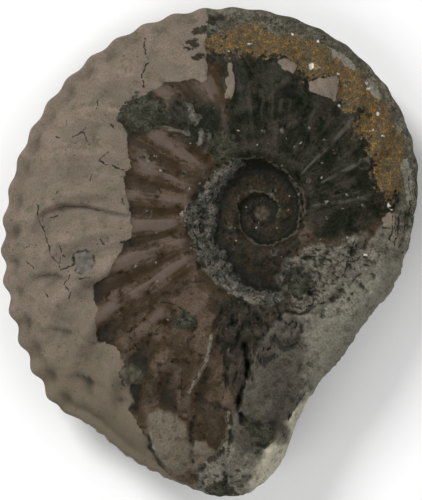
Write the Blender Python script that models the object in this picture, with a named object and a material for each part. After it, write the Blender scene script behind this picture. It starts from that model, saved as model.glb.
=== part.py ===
"""An ammonite fossil, lying on its flank: one solid stone, coiled in a flat spiral with a beaded keel.

Lengths are in metres and angles in degrees, unless a name says otherwise. The shape is worked out round
the umbilicus, the centre of the coil. "Turn" is the angle along the coil in radians: 0 points right along
+X in the newest whorl and grows anticlockwise, so the same place one whorl further in is 2 pi less.
"""

import math

import bmesh
import bpy
import numpy as np
from mathutils import Vector, noise

MM = 0.001
NODE = "ammonite"

# The coil: how far the umbilical shoulder and the keel stand from the centre, and how fast they grow.
SHOULDER_RADIUS = 8.2 * MM
SHOULDER_GROWTH = 0.155
KEEL_RADIUS = 29.0 * MM
KEEL_GROWTH = 0.200
KEEL_GROWTH_EASING = 0.011
FIRST_WHORL = -4

# The whorl's cross-section. Its places are in shares of the shoulder's radius, and the umbilical wall
# climbs from its foot to its top. Half the whorl's thickness is its height.
SHOULDER_RISE = 0.66
MOST_SHOULDER_HEIGHT = 10.8 * MM
HEIGHT_LIMIT_SHARPNESS = 8
WALL_FOOT = 0.74
WALL_TOP = 1.14
CREST = 1.30
COVERED_AT = 1.96
COVERED_HEIGHT = 0.94
CENTRE_RADIUS = 1.3 * MM
CENTRE_HALF_THICKNESS = 1.8 * MM
LEAST_HALF_THICKNESS = 1.3 * MM

# The newest whorl's flank, in shares of the way from the shoulder to the rim: level up to the first share,
# then curving down to the rim, which is fuller where the keel is broken away and stone fills the chamber.
FLANK_LEVEL = 0.10
FLANK_FULLNESS = 1.55
BROKEN_FULLNESS = 3.75
BROKEN_FROM = 262
KEELED_AGAIN_FROM = 325
KEELED_AGAIN = 352

# The keel and the broken edge past it: direction, distance from the centre and half thickness of the rim.
# The first and the last stand for the same place, and the coil's own spiral fills the long gap between.
KEEL_END = 224
KEEL_HALF_THICKNESS = 1.0 * MM
BROKEN_EDGE = (
    (224, 53.6 * MM, 1.0 * MM),
    (230, 51.8 * MM, 2.4 * MM),
    (241, 52.6 * MM, 3.2 * MM),
    (252, 53.3 * MM, 3.6 * MM),
    (262, 54.0 * MM, 4.0 * MM),
    (268, 52.4 * MM, 4.6 * MM),
    (274, 47.3 * MM, 5.4 * MM),
    (279, 40.0 * MM, 6.2 * MM),
    (286, 34.7 * MM, 6.6 * MM),
    (298, 31.0 * MM, 6.0 * MM),
    (316, 27.9 * MM, 4.4 * MM),
    (331, 28.4 * MM, 2.6 * MM),
    (346, 28.3 * MM, 1.4 * MM),
    (360, 29.0 * MM, 1.0 * MM),
)
EDGE_ROUNDING = 0.010

# The newest whorl, filled with stone, ramps down on to its own start. The ramp ends later the further out
# it is, in degrees for each metre.
RAMP_END = 318
RAMP_END_LEAN = 1600
RAMP_LAST_END = 358
RAMP_LENGTH = 52

# Before that, its stone has run over the umbilical wall towards the centre.
SPILL_START = 276
SPILL_FULL = 302
SPILL_WALL_FOOT = 0.44
SPILL_WALL_TOP = 0.86

# The ribs: their spacing along the coil shrinks as the shell grows, and they sweep forward near the keel.
RIB_SPACING = 19.5
RIB_SPACING_LOSS = 0.033
RIB_PHASE = 0.45
RIB_HEIGHT = 0.020
RIB_NARROWNESS = 1.4
RIB_MEAN = 0.4
RIB_BACK_BEND = 2.0
RIB_FORWARD_SWEEP = 9.0
RIBS_ON_INNER_WHORLS = 0.5
RIBS_ON_BROKEN_PART = 0.3

# The keel's beads and the groove inside them. The beads are worn on the oldest part of the keel.
BEADS_PER_RIB = 2
BEAD_REACH = 1.0 * MM
BEAD_SWELL = 0.45 * MM
BEADS_FADE_IN = 12
OLDEST_BEADS = 0.25
MIDDLE_BEADS = 0.55
OLDEST_BEADS_END = 92
MIDDLE_BEADS_START = 108
MIDDLE_BEADS_END = 172
FULL_BEADS_START = 190
GROOVE_PLACE = 0.935
GROOVE_HALF_WIDTH = 0.032
GROOVE_DEPTH = 0.085
GROOVE_FILLED_BY_BEAD = 0.6

# Lumps of stone and shell, in millimetres: centre, half widths, lean of the first half width, and height.
UPPER_LUMPS = (
    ((0.4, -34.0), (4.2, 7.2), -18, 1.2),
    ((-0.5, -41.5), (4.6, 2.6), 10, 0.5),
    ((-5.0, -47.3), (5.4, 4.8), 0, 0.9),
    ((1.9, -45.0), (2.4, 5.2), -12, 0.7),
    ((-17.3, -42.5), (3.6, 8.2), 14, 1.2),
    ((-10.5, -40.2), (3.0, 6.6), -6, 0.9),
    ((-33.2, -9.2), (2.2, 2.2), 0, 0.5),
    ((-24.4, -30.0), (2.3, 2.3), 0, 1.0),
    ((-22.4, 19.2), (4.8, 3.4), 25, 0.6),
    ((16.8, -5.0), (2.8, 2.0), 20, 0.9),
    ((6.8, -13.0), (2.8, 3.0), 0, 0.8),
    ((11.6, -13.6), (3.0, 2.4), 0, 0.7),
    ((11.0, -7.2), (3.2, 1.9), 12, 0.7),
    ((21.6, -8.4), (2.6, 2.6), 0, 0.6),
    ((2.6, -17.0), (3.4, 1.4), -8, 0.8),
)
UNDER_LUMPS = (
    ((-16.0, -41.0), (4.0, 7.0), 12, 0.9),
    ((0.0, -42.0), (5.0, 5.0), -15, 0.7),
    ((-28.0, 12.0), (3.0, 2.4), 0, 0.6),
)

# Furrows, in millimetres: points along the middle, half width and depth.
UPPER_FURROWS = (
    (((-3.0, -24.0), (-3.2, -29.0), (-4.2, -33.0), (-4.0, -36.8), (-3.4, -40.2)), 1.1, 1.5),
    (((-12.2, -34.2), (-8.4, -35.8), (-6.2, -37.6), (-6.4, -42.2), (-9.6, -45.2), (-12.2, -48.0)), 1.0, 0.7),
    (((-21.4, -40.0), (-21.0, -44.6), (-18.6, -48.6), (-14.4, -49.4)), 1.0, 0.8),
    (((-2.6, -30.0), (0.6, -27.2), (2.4, -24.4)), 1.0, 0.6),
)

LUMP_TOP = 0.35
LUMP_EDGE = 1.15

# The crust of old mud left on the umbilical wall of the newer half of the coil.
CRUST_THICKNESS = 0.8 * MM
CRUST_LUMP_SIZE = 2.2 * MM
CRUST_MEAN = 0.6
CRUST_INNER_EDGE = (0.66, 0.76)
CRUST_OUTER_EDGE = (0.98, 1.06)
CRUST_START = (60, 130)
CRUST_END = (300, 325)
CRUST_ON_LOWER_FLANK = 0.6

# How it lies: a mound of stone left on the lower flank, rubbed flat underneath, carries it.
MOUND_CENTRE = (-8.0 * MM, -13.0 * MM)
MOUND_HALF_WIDTHS = (17.0 * MM, 13.5 * MM)
MOUND_LEAN = -25
MOUND_HEIGHT = 11.4 * MM
MOUND_TOP = 0.8
MOUND_EDGE = 1.5
MOUND_UNEVENNESS = 0.35
MOUND_LUMP_SIZE = 9.0 * MM
RUBBED_DEPTH = 0.3 * MM

# The mesh, before it is thinned to facets. Its rings crowd together towards the rim.
SECTORS = 480
RINGS = 136
EDGE_RINGS = 3
RIM_CROWDING = 1.5
ROUND_RADIUS = 30.0 * MM
ROUND_POWER = 2.5
FACET_SHARE = 0.0745
SHARPEST_SMOOTH_EDGE = 40

STONE_COLOUR = (0.27, 0.22, 0.18, 1.0)
STONE_ROUGHNESS = 0.55


def smooth_step(low, high, value):
    """0 below low, 1 above high, and an S-curve between."""
    share = np.clip((value - low) / (high - low), 0.0, 1.0)
    return share * share * (3.0 - 2.0 * share)


def shoulder_radius(turn):
    return SHOULDER_RADIUS * np.exp(SHOULDER_GROWTH * turn)


def keel_radius(turn):
    return KEEL_RADIUS * np.exp(KEEL_GROWTH * turn - KEEL_GROWTH_EASING * turn * turn)


def shoulder_height(turn):
    """Half the whorl's thickness at its thickest, which stops growing late and stays solid in the middle."""
    height = SHOULDER_RISE * shoulder_radius(turn)
    past_limit = (height / MOST_SHOULDER_HEIGHT) ** HEIGHT_LIMIT_SHARPNESS
    solid = LEAST_HALF_THICKNESS * np.exp(-height / LEAST_HALF_THICKNESS)
    return solid + height / (1.0 + past_limit) ** (1.0 / HEIGHT_LIMIT_SHARPNESS)


def ribs_passed(turn):
    """How many ribs lie between turn 0 and this turn."""
    loss = RIB_SPACING_LOSS / RIB_SPACING
    return -np.log(np.maximum(1.0 - loss * np.degrees(turn), 0.05)) / RIB_SPACING_LOSS


def along_edge(direction, column):
    """The broken edge's distance or half thickness at a direction, eased from point to point."""
    directions = [point[0] for point in BROKEN_EDGE]
    values = [point[column] for point in BROKEN_EDGE]
    slopes = np.gradient(values, directions)
    before = np.clip(np.searchsorted(directions, direction) - 1, 0, len(directions) - 2)
    low = np.take(directions, before)
    gap = np.take(directions, before + 1) - low
    t = np.clip((direction - low) / gap, 0.0, 1.0)
    arrived = t * t * (3.0 - 2.0 * t)
    places = np.take(values, before) * (1.0 - arrived) + np.take(values, before + 1) * arrived
    leaving = t * (1.0 - t) ** 2 * np.take(slopes, before)
    arriving = t * t * (1.0 - t) * np.take(slopes, before + 1)
    return places + gap * (leaving - arriving)


def rim_radius(direction):
    """Distance from the centre to the outline, with no beads."""
    spiral = keel_radius(np.radians(direction))
    return np.where(direction < KEEL_END, spiral, along_edge(direction, 1))


def rim_half_thickness(direction):
    return np.where(direction < KEEL_END, KEEL_HALF_THICKNESS, along_edge(direction, 2))


def rib_sweep(share):
    """How far a rib has bent forward at this share of the way from shoulder to rim, in radians."""
    back = RIB_BACK_BEND * np.sin(np.pi * np.clip(share, 0.0, 1.0))
    forward = RIB_FORWARD_SWEEP * smooth_step(0.5, 1.05, share)
    return np.radians(forward - back)


def rib_relief(turn, share, radius):
    """Rounded ribs with wider hollows, fading into the umbilical wall and out before the keel."""
    wave = 0.5 + 0.5 * np.cos(2 * np.pi * (ribs_passed(turn - rib_sweep(share)) - RIB_PHASE))
    strength = smooth_step(-0.04, 0.12, share) * (1.0 - smooth_step(0.72, GROOVE_PLACE, share))
    return RIB_HEIGHT * radius * strength * (wave**RIB_NARROWNESS - RIB_MEAN)


def bead_wave(turn):
    """1 on a bead of the keel and 0 between beads."""
    return 0.5 + 0.5 * np.cos(2 * np.pi * BEADS_PER_RIB * (ribs_passed(turn - rib_sweep(1.0)) - RIB_PHASE))


def bead_strength(direction):
    """How much of a bead is left at a direction."""
    middle = (MIDDLE_BEADS - OLDEST_BEADS) * smooth_step(OLDEST_BEADS_END, MIDDLE_BEADS_START, direction)
    full = (1.0 - MIDDLE_BEADS) * smooth_step(MIDDLE_BEADS_END, FULL_BEADS_START, direction)
    lost = smooth_step(KEEL_END - 2, KEEL_END + 3, direction)
    return (OLDEST_BEADS + middle + full) * smooth_step(0, BEADS_FADE_IN, direction) * (1.0 - lost)


def flank_height(radius, turn, direction):
    """Height of the newest whorl's flank from the shoulder to the rim, with ribs, groove and beads."""
    shoulder = shoulder_radius(turn)
    share = (radius - shoulder) / (rim_radius(direction) - shoulder)
    height = shoulder_height(turn)
    edge = np.minimum(rim_half_thickness(direction), height)
    broken = smooth_step(KEEL_END, BROKEN_FROM, direction)
    broken = broken * (1.0 - smooth_step(KEELED_AGAIN_FROM, KEELED_AGAIN, direction))
    fullness = FLANK_FULLNESS + (BROKEN_FULLNESS - FLANK_FULLNESS) * broken
    curve = np.clip((share - FLANK_LEVEL) / (1.0 - FLANK_LEVEL), 0.0, 1.0) ** fullness
    bead = bead_strength(direction) * bead_wave(turn)
    groove = np.exp(-(((share - GROOVE_PLACE) / GROOVE_HALF_WIDTH) ** 2))
    groove = groove * GROOVE_DEPTH * height * (1.0 - broken) * (1.0 - GROOVE_FILLED_BY_BEAD * bead)
    ribs = rib_relief(turn, share, radius) * (1.0 - (1.0 - RIBS_ON_BROKEN_PART) * broken)
    swell = BEAD_SWELL * (bead - 0.3 * bead_strength(direction)) * smooth_step(GROOVE_PLACE, 0.985, share)
    return height + (edge - height) * curve - groove + ribs + swell


def inner_whorls(radius, direction, last_whorl):
    """Height of the inner whorls that show in the umbilicus, round a small raised centre."""
    height = np.full_like(radius, LEAST_HALF_THICKNESS)
    for whorl in range(FIRST_WHORL, last_whorl + 1):
        turn = np.radians(direction) + 2 * math.pi * whorl
        inside = radius / shoulder_radius(turn)
        fall = (1.0 - COVERED_HEIGHT) * smooth_step(CREST, COVERED_AT, inside)
        flank = shoulder_height(turn) * (1.0 - fall)
        flank += RIBS_ON_INNER_WHORLS * rib_relief(turn, inside - 1.0, radius)
        height += (flank - height) * smooth_step(WALL_FOOT, WALL_TOP, inside)
    centre = 1.0 - smooth_step(0.7 * CENTRE_RADIUS, 1.2 * CENTRE_RADIUS, radius)
    return height + (CENTRE_HALF_THICKNESS - height) * centre


def coil_height(radius, direction):
    """Half thickness of the bare coil, where the newest whorl ramps down on to its own start."""
    turn = np.radians(direction)
    spill = smooth_step(SPILL_START, SPILL_FULL, direction)
    foot = WALL_FOOT + (SPILL_WALL_FOOT - WALL_FOOT) * spill
    top = WALL_TOP + (SPILL_WALL_TOP - WALL_TOP) * spill
    end = inner_whorls(radius, direction, -1)
    end_wall = smooth_step(foot, top, radius / shoulder_radius(turn))
    end += (flank_height(radius, turn, direction) - end) * end_wall
    start_turn = turn - 2 * math.pi
    start = inner_whorls(radius, direction, -2)
    start_wall = smooth_step(WALL_FOOT, WALL_TOP, radius / shoulder_radius(start_turn))
    start += (flank_height(radius, start_turn, direction) - start) * start_wall
    ramp_end = np.minimum(RAMP_END + RAMP_END_LEAN * radius, RAMP_LAST_END)
    return end + (start - end) * smooth_step(ramp_end - RAMP_LENGTH, ramp_end, direction)


def lump_relief(x, y, lumps):
    """Height that rounded lumps add."""
    total = np.zeros_like(x)
    for (centre_x, centre_y), (half_a, half_b), lean, height in lumps:
        cos_lean, sin_lean = math.cos(math.radians(lean)), math.sin(math.radians(lean))
        dx, dy = x - centre_x * MM, y - centre_y * MM
        along = (dx * cos_lean + dy * sin_lean) / (half_a * MM)
        across = (dy * cos_lean - dx * sin_lean) / (half_b * MM)
        total += height * MM * (1.0 - smooth_step(LUMP_TOP, LUMP_EDGE, np.hypot(along, across)))
    return total


def distance_to_line(x, y, points):
    """Distance to a line that runs straight from point to point."""
    nearest = np.full_like(x, 1.0)
    for (x0, y0), (x1, y1) in zip(points, points[1:]):
        along_x, along_y = (x1 - x0) * MM, (y1 - y0) * MM
        t = ((x - x0 * MM) * along_x + (y - y0 * MM) * along_y) / (along_x**2 + along_y**2)
        t = np.clip(t, 0.0, 1.0)
        gap = np.hypot(x - x0 * MM - t * along_x, y - y0 * MM - t * along_y)
        nearest = np.minimum(nearest, gap)
    return nearest


def furrow_relief(x, y, furrows):
    """Height that rounded furrows take away."""
    total = np.zeros_like(x)
    for points, half_width, depth in furrows:
        total -= depth * MM * np.exp(-((distance_to_line(x, y, points) / (half_width * MM)) ** 2))
    return total


def lumpy(x, y, size):
    """Smooth unevenness between -1 and 1, with lumps of this size."""
    values = [noise.noise(Vector((a, b, 0.0)) / size) for a, b in zip(x.flat, y.flat)]
    return np.array(values).reshape(x.shape)


def crust_relief(x, y, radius, direction):
    """Thickness of the lumpy crust on the umbilical wall."""
    inside = radius / shoulder_radius(np.radians(direction))
    band = smooth_step(*CRUST_INNER_EDGE, inside) * (1.0 - smooth_step(*CRUST_OUTER_EDGE, inside))
    covered = smooth_step(*CRUST_START, direction) * (1.0 - smooth_step(*CRUST_END, direction))
    return CRUST_THICKNESS * band * covered * (CRUST_MEAN + lumpy(x, y, CRUST_LUMP_SIZE))


def mound_height(x, y):
    """Height of the stone left on the lower flank, which ends in an uneven outline."""
    cos_lean, sin_lean = math.cos(math.radians(MOUND_LEAN)), math.sin(math.radians(MOUND_LEAN))
    dx, dy = x - MOUND_CENTRE[0], y - MOUND_CENTRE[1]
    along = (dx * cos_lean + dy * sin_lean) / MOUND_HALF_WIDTHS[0]
    across = (dy * cos_lean - dx * sin_lean) / MOUND_HALF_WIDTHS[1]
    outwards = np.hypot(along, across) + MOUND_UNEVENNESS * lumpy(x, y, MOUND_LUMP_SIZE)
    return MOUND_HEIGHT * (1.0 - smooth_step(MOUND_TOP, MOUND_EDGE, outwards))


def shell_point(longitude, latitude):
    """Places of a ball's vertices on the fossil. The poles go to the centre and the equator to the rim.

    Its rings are round near the centre, and take up the outline's shape on the way out.
    """
    direction = np.degrees(longitude) % 360.0
    ring = 1.0 - np.abs(latitude) / (math.pi / 2)
    flank_rings = 1.0 - EDGE_RINGS * 2.0 / RINGS
    rim = rim_radius(direction)
    inner = 1.0 - (1.0 - np.minimum(ring / flank_rings, 1.0)) ** RIM_CROWDING
    turn_over = np.clip((ring - flank_rings) / (1.0 - flank_rings), 0.0, 1.0) * math.pi / 2
    share = inner * (1.0 - EDGE_ROUNDING) + EDGE_ROUNDING * np.sin(turn_over)
    radius = ROUND_RADIUS * share + (rim - ROUND_RADIUS) * share**ROUND_POWER
    beads = BEAD_REACH * bead_strength(direction) * (bead_wave(np.radians(direction)) - 0.5)
    reach = radius + beads * smooth_step(0.86, 1.0, share)
    x, y = reach * np.cos(longitude), reach * np.sin(longitude)
    bare = coil_height(radius, direction)
    crust = crust_relief(x, y, radius, direction)
    fade = 1.0 - smooth_step(0.93, 1.0, share)
    upper = bare + crust + (lump_relief(x, y, UPPER_LUMPS) + furrow_relief(x, y, UPPER_FURROWS)) * fade
    under = bare + CRUST_ON_LOWER_FLANK * crust + lump_relief(x, y, UNDER_LUMPS) * fade
    under = np.maximum(under, mound_height(x, y))
    z = np.where(latitude >= 0.0, upper, -under) * np.cos(turn_over)
    return np.stack([x, y, z], axis=-1)


def ball_facets():
    """Triangles of a ball's rings, which are numbered from the lower pole up, with the two poles last."""
    last_ring = (RINGS - 2) * SECTORS
    lower_pole, upper_pole = (RINGS - 1) * SECTORS, (RINGS - 1) * SECTORS + 1
    facets = []
    for sector in range(SECTORS):
        after = (sector + 1) % SECTORS
        facets.append((lower_pole, after, sector))
        facets.append((upper_pole, last_ring + sector, last_ring + after))
        for ring in range(0, last_ring, SECTORS):
            facets.append((ring + sector, ring + after, ring + SECTORS + after))
            facets.append((ring + sector, ring + SECTORS + after, ring + SECTORS + sector))
    return facets


def coiled_ball():
    """A ball of many rings, pressed and coiled into the shell's shape."""
    step = math.pi / RINGS
    latitude, longitude = np.meshgrid(
        -math.pi / 2 + step * np.arange(1, RINGS), 2 * math.pi / SECTORS * np.arange(SECTORS), indexing="ij"
    )
    longitude = np.append(longitude.ravel(), (0.0, 0.0))
    latitude = np.append(latitude.ravel(), (-math.pi / 2, math.pi / 2))
    mesh = bpy.data.meshes.new("coiled_ball")
    mesh.from_pydata(shell_point(longitude, latitude).tolist(), [], ball_facets())
    return mesh


def thinned(dense):
    """The same form in fewer facets, which keep to the ribs, the beads and the wall."""
    helper = bpy.data.objects.new("dense", dense)
    bpy.context.scene.collection.objects.link(helper)
    helper.modifiers.new("facets", "DECIMATE").ratio = FACET_SHARE
    graph = bpy.context.evaluated_depsgraph_get()
    facets = bmesh.new()
    facets.from_object(helper, graph)
    bpy.data.objects.remove(helper)
    bpy.data.meshes.remove(dense)
    return facets


def laid_down(form):
    """Rubs the mound flat underneath, sets it down there and centres the form over the origin."""
    floor = min(vertex.co.z for vertex in form.verts) + RUBBED_DEPTH
    everything = form.verts[:] + form.edges[:] + form.faces[:]
    cut = bmesh.ops.bisect_plane(
        form, geom=everything, plane_co=(0, 0, floor), plane_no=(0, 0, -1), clear_outer=True
    )
    cut_edges = [item for item in cut["geom_cut"] if isinstance(item, bmesh.types.BMEdge)]
    bmesh.ops.holes_fill(form, edges=cut_edges)
    places = np.array([vertex.co for vertex in form.verts])
    middle = (places.min(axis=0) + places.max(axis=0)) / 2
    bmesh.ops.translate(form, verts=form.verts, vec=(-middle[0], -middle[1], -floor))
    bmesh.ops.recalc_face_normals(form, faces=form.faces)
    return form


def stone_material():
    material = bpy.data.materials.new("fossil_stone")
    material.use_nodes = True
    finish = material.node_tree.nodes["Principled BSDF"]
    finish.inputs["Base Color"].default_value = STONE_COLOUR
    finish.inputs["Roughness"].default_value = STONE_ROUGHNESS
    finish.inputs["Metallic"].default_value = 0.0
    return material


def make_ammonite():
    form = laid_down(thinned(coiled_ball()))
    mesh = bpy.data.meshes.new(NODE)
    form.to_mesh(mesh)
    form.free()
    mesh.shade_smooth()
    mesh.set_sharp_from_angle(angle=math.radians(SHARPEST_SMOOTH_EDGE))
    mesh.materials.append(stone_material())
    fossil = bpy.data.objects.new(NODE, mesh)
    bpy.context.scene.collection.objects.link(fossil)
    return fossil


def main():
    for leftover in list(bpy.data.objects):
        bpy.data.objects.remove(leftover)
    make_ammonite()


main()
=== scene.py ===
import math
import random

import bpy
import numpy as np
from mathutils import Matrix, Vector, noise


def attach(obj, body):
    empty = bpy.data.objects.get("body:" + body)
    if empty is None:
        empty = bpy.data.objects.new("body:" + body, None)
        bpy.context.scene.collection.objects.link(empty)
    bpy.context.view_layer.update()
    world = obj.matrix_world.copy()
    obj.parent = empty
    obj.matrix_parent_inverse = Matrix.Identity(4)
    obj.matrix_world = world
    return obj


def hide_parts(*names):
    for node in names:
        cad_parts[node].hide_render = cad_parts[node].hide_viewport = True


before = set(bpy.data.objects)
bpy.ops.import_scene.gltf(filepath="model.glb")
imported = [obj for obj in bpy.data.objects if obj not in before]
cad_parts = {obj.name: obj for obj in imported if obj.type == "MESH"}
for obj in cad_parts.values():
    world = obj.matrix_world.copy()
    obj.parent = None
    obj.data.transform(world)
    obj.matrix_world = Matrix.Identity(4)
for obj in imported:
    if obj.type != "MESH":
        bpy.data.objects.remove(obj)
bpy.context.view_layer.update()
print("frame loaded")

# Places on the fossil are in millimetres from the umbilicus, the middle of the coil: x to the right, y up.
# Directions are in degrees, anticlockwise from the right. A turn is the same angle in radians, counted on
# along the coil, so the whorl inside starts 2 pi earlier.
mm = 0.001
fullTurn = 2 * math.pi

coil = {
    "place": (10.07, 7.16, 11.1),  # the umbilicus in the frame, at the height of the keel
    "shoulderRadius": 8.2,
    "shoulderGrowth": 0.155,
    "keelRadius": 29.0,
    "keelGrowth": 0.200,
    "keelEasing": 0.011,
    "firstWhorl": -4,
    "shoulderRise": 0.66,
    "mostShoulderHeight": 10.8,
    "shoulderBend": 8,  # how sharply the height stops growing there
    "wallFoot": 0.74,  # shares of the shoulder's radius
    "wallTop": 1.14,
    "crest": 1.30,
    "coveredAt": 1.96,
    "coveredHeight": 0.94,
    "centreRadius": 1.3,
    "centreEdge": (0.7, 1.2),  # shares of that radius
    "centreHeight": 1.8,
    "leastHeight": 1.3,
    "flankLevel": 0.10,  # shares of the way from the shoulder to the rim
    "flankFullness": 1.55,
    "brokenFullness": 3.75,
    "broken": (224, 262),  # directions where the keel is lost
    "keeledAgain": (325, 352),
    "keelEnd": 224,
    "keelHeight": 1.0,
    # direction, radius and half thickness of the rim past the end of the keel
    "brokenRim": (
        (224, 53.6, 1.0),
        (230, 51.8, 2.4),
        (241, 52.6, 3.2),
        (252, 53.3, 3.6),
        (262, 54.0, 4.0),
        (268, 52.4, 4.6),
        (274, 47.3, 5.4),
        (279, 40.0, 6.2),
        (286, 34.7, 6.6),
        (298, 31.0, 6.0),
        (316, 27.9, 4.4),
        (331, 28.4, 2.6),
        (346, 28.3, 1.4),
        (360, 29.0, 1.0),
    ),
    "rampEnd": 318,
    "rampLean": 1.6,  # degrees later for each millimetre outwards
    "rampLastEnd": 358,
    "rampLength": 52,
    "spill": (276, 302),
    "spillWallFoot": 0.44,
    "spillWallTop": 0.86,
}

ribs = {
    "spacing": 19.5,
    "spacingLoss": 0.033,
    "phase": 0.45,
    "height": 0.020,
    "narrowness": 1.4,
    "mean": 0.4,
    "weakest": (52, 78, 118, 134),  # directions between which the ribs are worn low
    "wornTo": 0.55,
    "forwardSweep": 9.0,
    "sweepOver": (0.5, 1.05),  # shares of the flank
    "riseOver": (-0.04, 0.12),
    "fadeFrom": 0.72,
    "onInnerWhorls": 0.5,
    "onBrokenPart": 0.9,
    "gone": (248, 266),  # directions over which they end in the mud stone
    "backAgain": (350, 359),
    "outerGain": (0.28, 0.55, 1.2),  # from this share to that, how much taller they get
}

keel = {
    "beadsPerRib": 2,
    "reach": 1.0,
    "swell": 0.60,
    "fadeIn": 12,
    "oldest": 0.25,
    "middle": 0.55,
    "middleFrom": (92, 108),
    "fullFrom": (172, 190),
    "groovePlace": 0.935,
    "grooveHalfWidth": 0.032,
    "grooveDepth": 0.105,
    "grooveFilled": 0.6,
    "grooveWorn": 0.25,  # of its depth, on the older half
    "lostOver": (-2, 3),  # degrees past its end
    "betweenBeads": 0.3,
    "fullAt": 0.985,
}


def smoothStep(low, high, value):
    share = np.clip((value - low) / (high - low), 0.0, 1.0)
    return share * share * (3.0 - 2.0 * share)


def shoulderRadius(turn):
    return coil["shoulderRadius"] * np.exp(coil["shoulderGrowth"] * turn)


def keelRadius(turn):
    return coil["keelRadius"] * np.exp(coil["keelGrowth"] * turn - coil["keelEasing"] * turn * turn)


def shoulderHeight(turn):
    height = coil["shoulderRise"] * shoulderRadius(turn)
    solid, bend = coil["leastHeight"] * np.exp(-height / coil["leastHeight"]), coil["shoulderBend"]
    return solid + height / (1.0 + (height / coil["mostShoulderHeight"]) ** bend) ** (1.0 / bend)


def ribsPassed(turn):
    loss = ribs["spacingLoss"] / ribs["spacing"]
    return -np.log(np.maximum(1.0 - loss * np.degrees(turn), 0.05)) / ribs["spacingLoss"]


def alongRim(direction, column):
    table = np.array(coil["brokenRim"])
    directions, values = table[:, 0], table[:, column]
    slopes = np.gradient(values, directions)
    before = np.clip(np.searchsorted(directions, direction) - 1, 0, len(directions) - 2)
    gap = directions[before + 1] - directions[before]
    t = np.clip((direction - directions[before]) / gap, 0.0, 1.0)
    arrived = t * t * (3.0 - 2.0 * t)
    eased = t * (1.0 - t) ** 2 * slopes[before] - t * t * (1.0 - t) * slopes[before + 1]
    return values[before] * (1.0 - arrived) + values[before + 1] * arrived + gap * eased


def rimRadius(direction):
    spiral = keelRadius(np.radians(direction))
    return np.where(direction < coil["keelEnd"], spiral, alongRim(direction, 1))


def rimHeight(direction):
    return np.where(direction < coil["keelEnd"], coil["keelHeight"], alongRim(direction, 2))


def ribSweep(share):
    return np.radians(ribs["forwardSweep"] * smoothStep(*ribs["sweepOver"], share))


def ribWave(turn, share):
    return 0.5 + 0.5 * np.cos(fullTurn * (ribsPassed(turn - ribSweep(share)) - ribs["phase"]))


def ribStrength(share):
    fading = smoothStep(ribs["fadeFrom"], keel["groovePlace"], share)
    return smoothStep(*ribs["riseOver"], share) * (1.0 - fading)


def ribWear(turn):
    wornFrom, wornAll, wornUntil, freshAgain = ribs["weakest"]
    direction = np.degrees(turn)
    worn = smoothStep(wornFrom, wornAll, direction) * (1.0 - smoothStep(wornUntil, freshAgain, direction))
    return 1.0 - (1.0 - ribs["wornTo"]) * worn


def ribRelief(turn, share, radius):
    wave = ribWave(turn, share) ** ribs["narrowness"] - ribs["mean"]
    gainFrom, gainUntil, gain = ribs["outerGain"]
    taller = 1.0 + gain * smoothStep(gainFrom, gainUntil, share)
    return ribs["height"] * radius * ribStrength(share) * ribWear(turn) * taller * wave


def beadWave(turn):
    passed = ribsPassed(turn - ribSweep(1.0)) - ribs["phase"]
    return 0.5 + 0.5 * np.cos(fullTurn * keel["beadsPerRib"] * passed)


def beadStrength(direction):
    worn = keel["oldest"] + (keel["middle"] - keel["oldest"]) * smoothStep(*keel["middleFrom"], direction)
    worn = worn + (1.0 - keel["middle"]) * smoothStep(*keel["fullFrom"], direction)
    lost = smoothStep(*keel["lostOver"], direction - coil["keelEnd"])
    return worn * smoothStep(0, keel["fadeIn"], direction) * (1.0 - lost)


def brokenShare(direction):
    return smoothStep(*coil["broken"], direction) * (1.0 - smoothStep(*coil["keeledAgain"], direction))


def flankShare(radius, turn, direction):
    shoulder = shoulderRadius(turn)
    return (radius - shoulder) / (rimRadius(direction) - shoulder)


def flankHeight(radius, turn, direction):
    share = flankShare(radius, turn, direction)
    height = shoulderHeight(turn)
    edge = np.minimum(rimHeight(direction), height)
    broken = brokenShare(direction)
    fullness = coil["flankFullness"] + (coil["brokenFullness"] - coil["flankFullness"]) * broken
    curve = np.clip((share - coil["flankLevel"]) / (1.0 - coil["flankLevel"]), 0.0, 1.0) ** fullness
    bead = beadStrength(direction) * beadWave(turn)
    groove = np.exp(-(((share - keel["groovePlace"]) / keel["grooveHalfWidth"]) ** 2))
    groove = groove * keel["grooveDepth"] * height * (1.0 - broken) * (1.0 - keel["grooveFilled"] * bead)
    fresh = smoothStep(*keel["middleFrom"], direction)
    groove = groove * (keel["grooveWorn"] + (1.0 - keel["grooveWorn"]) * fresh)
    ribbing = ribRelief(turn, share, radius) * (1.0 - (1.0 - ribs["onBrokenPart"]) * broken)
    gone = smoothStep(*ribs["gone"], direction) * (1.0 - smoothStep(*ribs["backAgain"], direction))
    ribbing = ribbing * (1.0 - gone)
    swell = keel["swell"] * (bead - keel["betweenBeads"] * beadStrength(direction))
    swell = swell * smoothStep(keel["groovePlace"], keel["fullAt"], share)
    return height + (edge - height) * curve - groove + ribbing + swell


def innerWhorls(radius, direction, lastWhorl):
    height = np.full_like(radius, coil["leastHeight"])
    for whorl in range(coil["firstWhorl"], lastWhorl + 1):
        turn = np.radians(direction) + fullTurn * whorl
        inside = radius / shoulderRadius(turn)
        fall = (1.0 - coil["coveredHeight"]) * smoothStep(coil["crest"], coil["coveredAt"], inside)
        flank = shoulderHeight(turn) * (1.0 - fall)
        flank += ribs["onInnerWhorls"] * ribRelief(turn, inside - 1.0, radius)
        height += (flank - height) * smoothStep(coil["wallFoot"], coil["wallTop"], inside)
    centre = 1.0 - smoothStep(*coil["centreEdge"], radius / coil["centreRadius"])
    return height + (coil["centreHeight"] - height) * centre


def rampShare(radius, direction):
    rampEnd = np.minimum(coil["rampEnd"] + coil["rampLean"] * radius, coil["rampLastEnd"])
    return smoothStep(rampEnd - coil["rampLength"], rampEnd, direction)


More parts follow.
